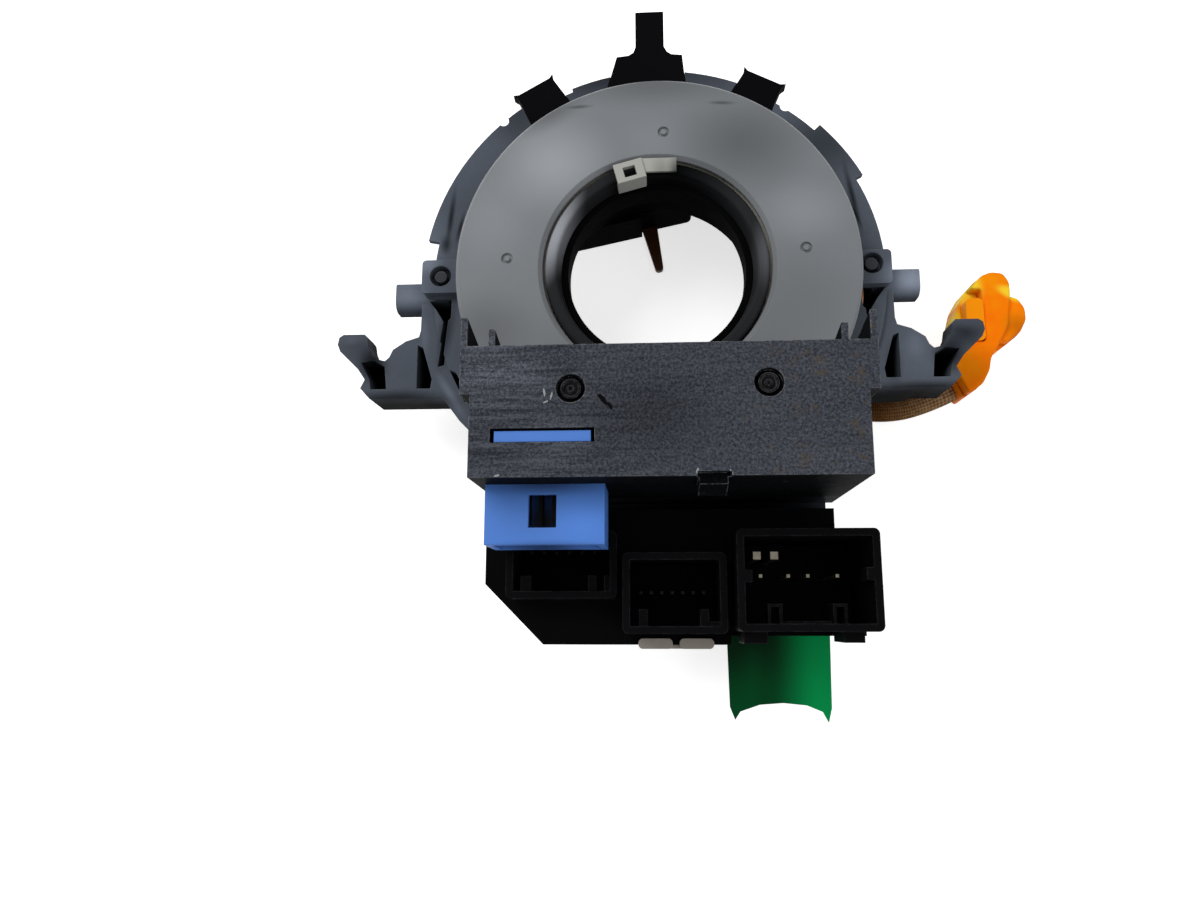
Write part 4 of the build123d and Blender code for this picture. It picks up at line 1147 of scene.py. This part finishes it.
@dataclass(frozen=True)
class Table:
    """A wide white plane, pure white to the camera apart from the shadow, in metres."""

    height: float = -28.0 * MM
    size: float = 6.0
    colour: Colour = (0.86, 0.86, 0.86)
    roughness: float = 0.6
    glow: float = 0.68

    def build(self) -> None:
        """Adds the table."""
        mesh = bmesh.new()
        bmesh.ops.create_grid(mesh, x_segments=1, y_segments=1, size=self.size / 2)
        bmesh.ops.translate(mesh, vec=(0.0, 0.0, self.height), verts=mesh.verts)
        data = bpy.data.meshes.new("table")
        mesh.to_mesh(data)
        mesh.free()
        data.materials.append(self._material())
        table = bpy.data.objects.new("table", data)
        bpy.context.collection.objects.link(table)

    def _material(self) -> bpy.types.Material:
        """White that glows for the rays that show the background.

        Returns:
            The material.
        """
        paint = Paint("white_table")
        paint.feed("Base Color", (*self.colour, 1.0))
        paint.feed("Roughness", self.roughness)
        paint.feed("Emission Color", (1.0, 1.0, 1.0, 1.0))
        paint.feed("Emission Strength", paint.seen() * self.glow)
        return paint.material


@dataclass(frozen=True)
class Lamp:
    """A soft square lamp aimed at the part, in metres and watts."""

    name: str
    place: Place
    size: float
    power: float
    aim: Place = (0.0, -0.02, 0.0)

    def build(self) -> None:
        """Hangs the lamp."""
        data = bpy.data.lights.new(self.name, "AREA")
        data.size = self.size
        data.energy = self.power
        lamp = bpy.data.objects.new(self.name, data)
        way = Vector(self.aim) - Vector(self.place)
        turn = way.to_track_quat("-Z", "Y").to_matrix().to_4x4()
        lamp.matrix_world = Matrix.Translation(self.place) @ turn
        bpy.context.collection.objects.link(lamp)


@dataclass(frozen=True)
class Camera:
    """Camera at the photograph's place, with its lens: place in metres, lens in millimetres."""

    place: Place = (-0.00085, -0.0777, 0.1973)
    right: Place = (0.99807, 0.0, -0.0621)
    forward: Place = (-0.06102, 0.18556, -0.98072)
    lens: float = 27.0
    sensor: float = 36.0
    nearest: float = 0.005

    def build(self) -> None:
        """Adds the camera and makes it the scene's own."""
        data = bpy.data.cameras.new("camera")
        data.lens = self.lens
        data.sensor_width = self.sensor
        data.clip_start = self.nearest
        right, forward = Vector(self.right), Vector(self.forward)
        turn = Matrix((right, right.cross(forward), -forward)).transposed().to_4x4()
        camera = bpy.data.objects.new("camera", data)
        camera.matrix_world = Matrix.Translation(self.place) @ turn
        bpy.context.collection.objects.link(camera)
        bpy.context.scene.camera = camera


@dataclass(frozen=True)
class Studio:
    """Table, lights and camera of the photograph."""

    table: Table = Table()
    lamps: tuple[Lamp, ...] = (
        Lamp("key", (-0.45, 0.40, 0.70), 0.6, 5.0), Lamp("fill", (0.55, -0.25, 0.6), 0.5, 1.5),
    )
    camera: Camera = Camera()
    world_light: float = 0.45

    def build(self) -> None:
        """Adds the table, the lights, the world and the camera."""
        self.table.build()
        self._world()
        for lamp in self.lamps:
            lamp.build()
        self.camera.build()
        bpy.context.scene.view_settings.view_transform = "Standard"

    def _world(self) -> None:
        """Pale even light from all round, white to the camera."""
        world = bpy.data.worlds.new("studio")
        world.use_nodes = True
        graph = Graph(world.node_tree)
        background = world.node_tree.nodes["Background"]
        strength = graph.seen() * (1.0 - self.world_light) + self.world_light
        graph.supply(background.inputs["Color"], (1.0, 1.0, 1.0, 1.0))
        graph.supply(background.inputs["Strength"], strength)
        bpy.context.scene.world = world


def main() -> None:
    """Loads the frame, dresses it, adds the new pieces and sets the stage."""
    logging.basicConfig(level=logging.INFO)
    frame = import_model()
    finishes = Finishes()
    nodes = frame["nodes"]
    finishes.dress(nodes)
    plug = PlugBody().build(finishes[Surface.PLUG])
    AirbagLead().build(finishes[Surface.LEAD], [plug, nodes["plug_lock"]])
    WingWall().build(finishes[Surface.HOUSING])
    Studio().build()


if __name__ == "__main__":
    main()
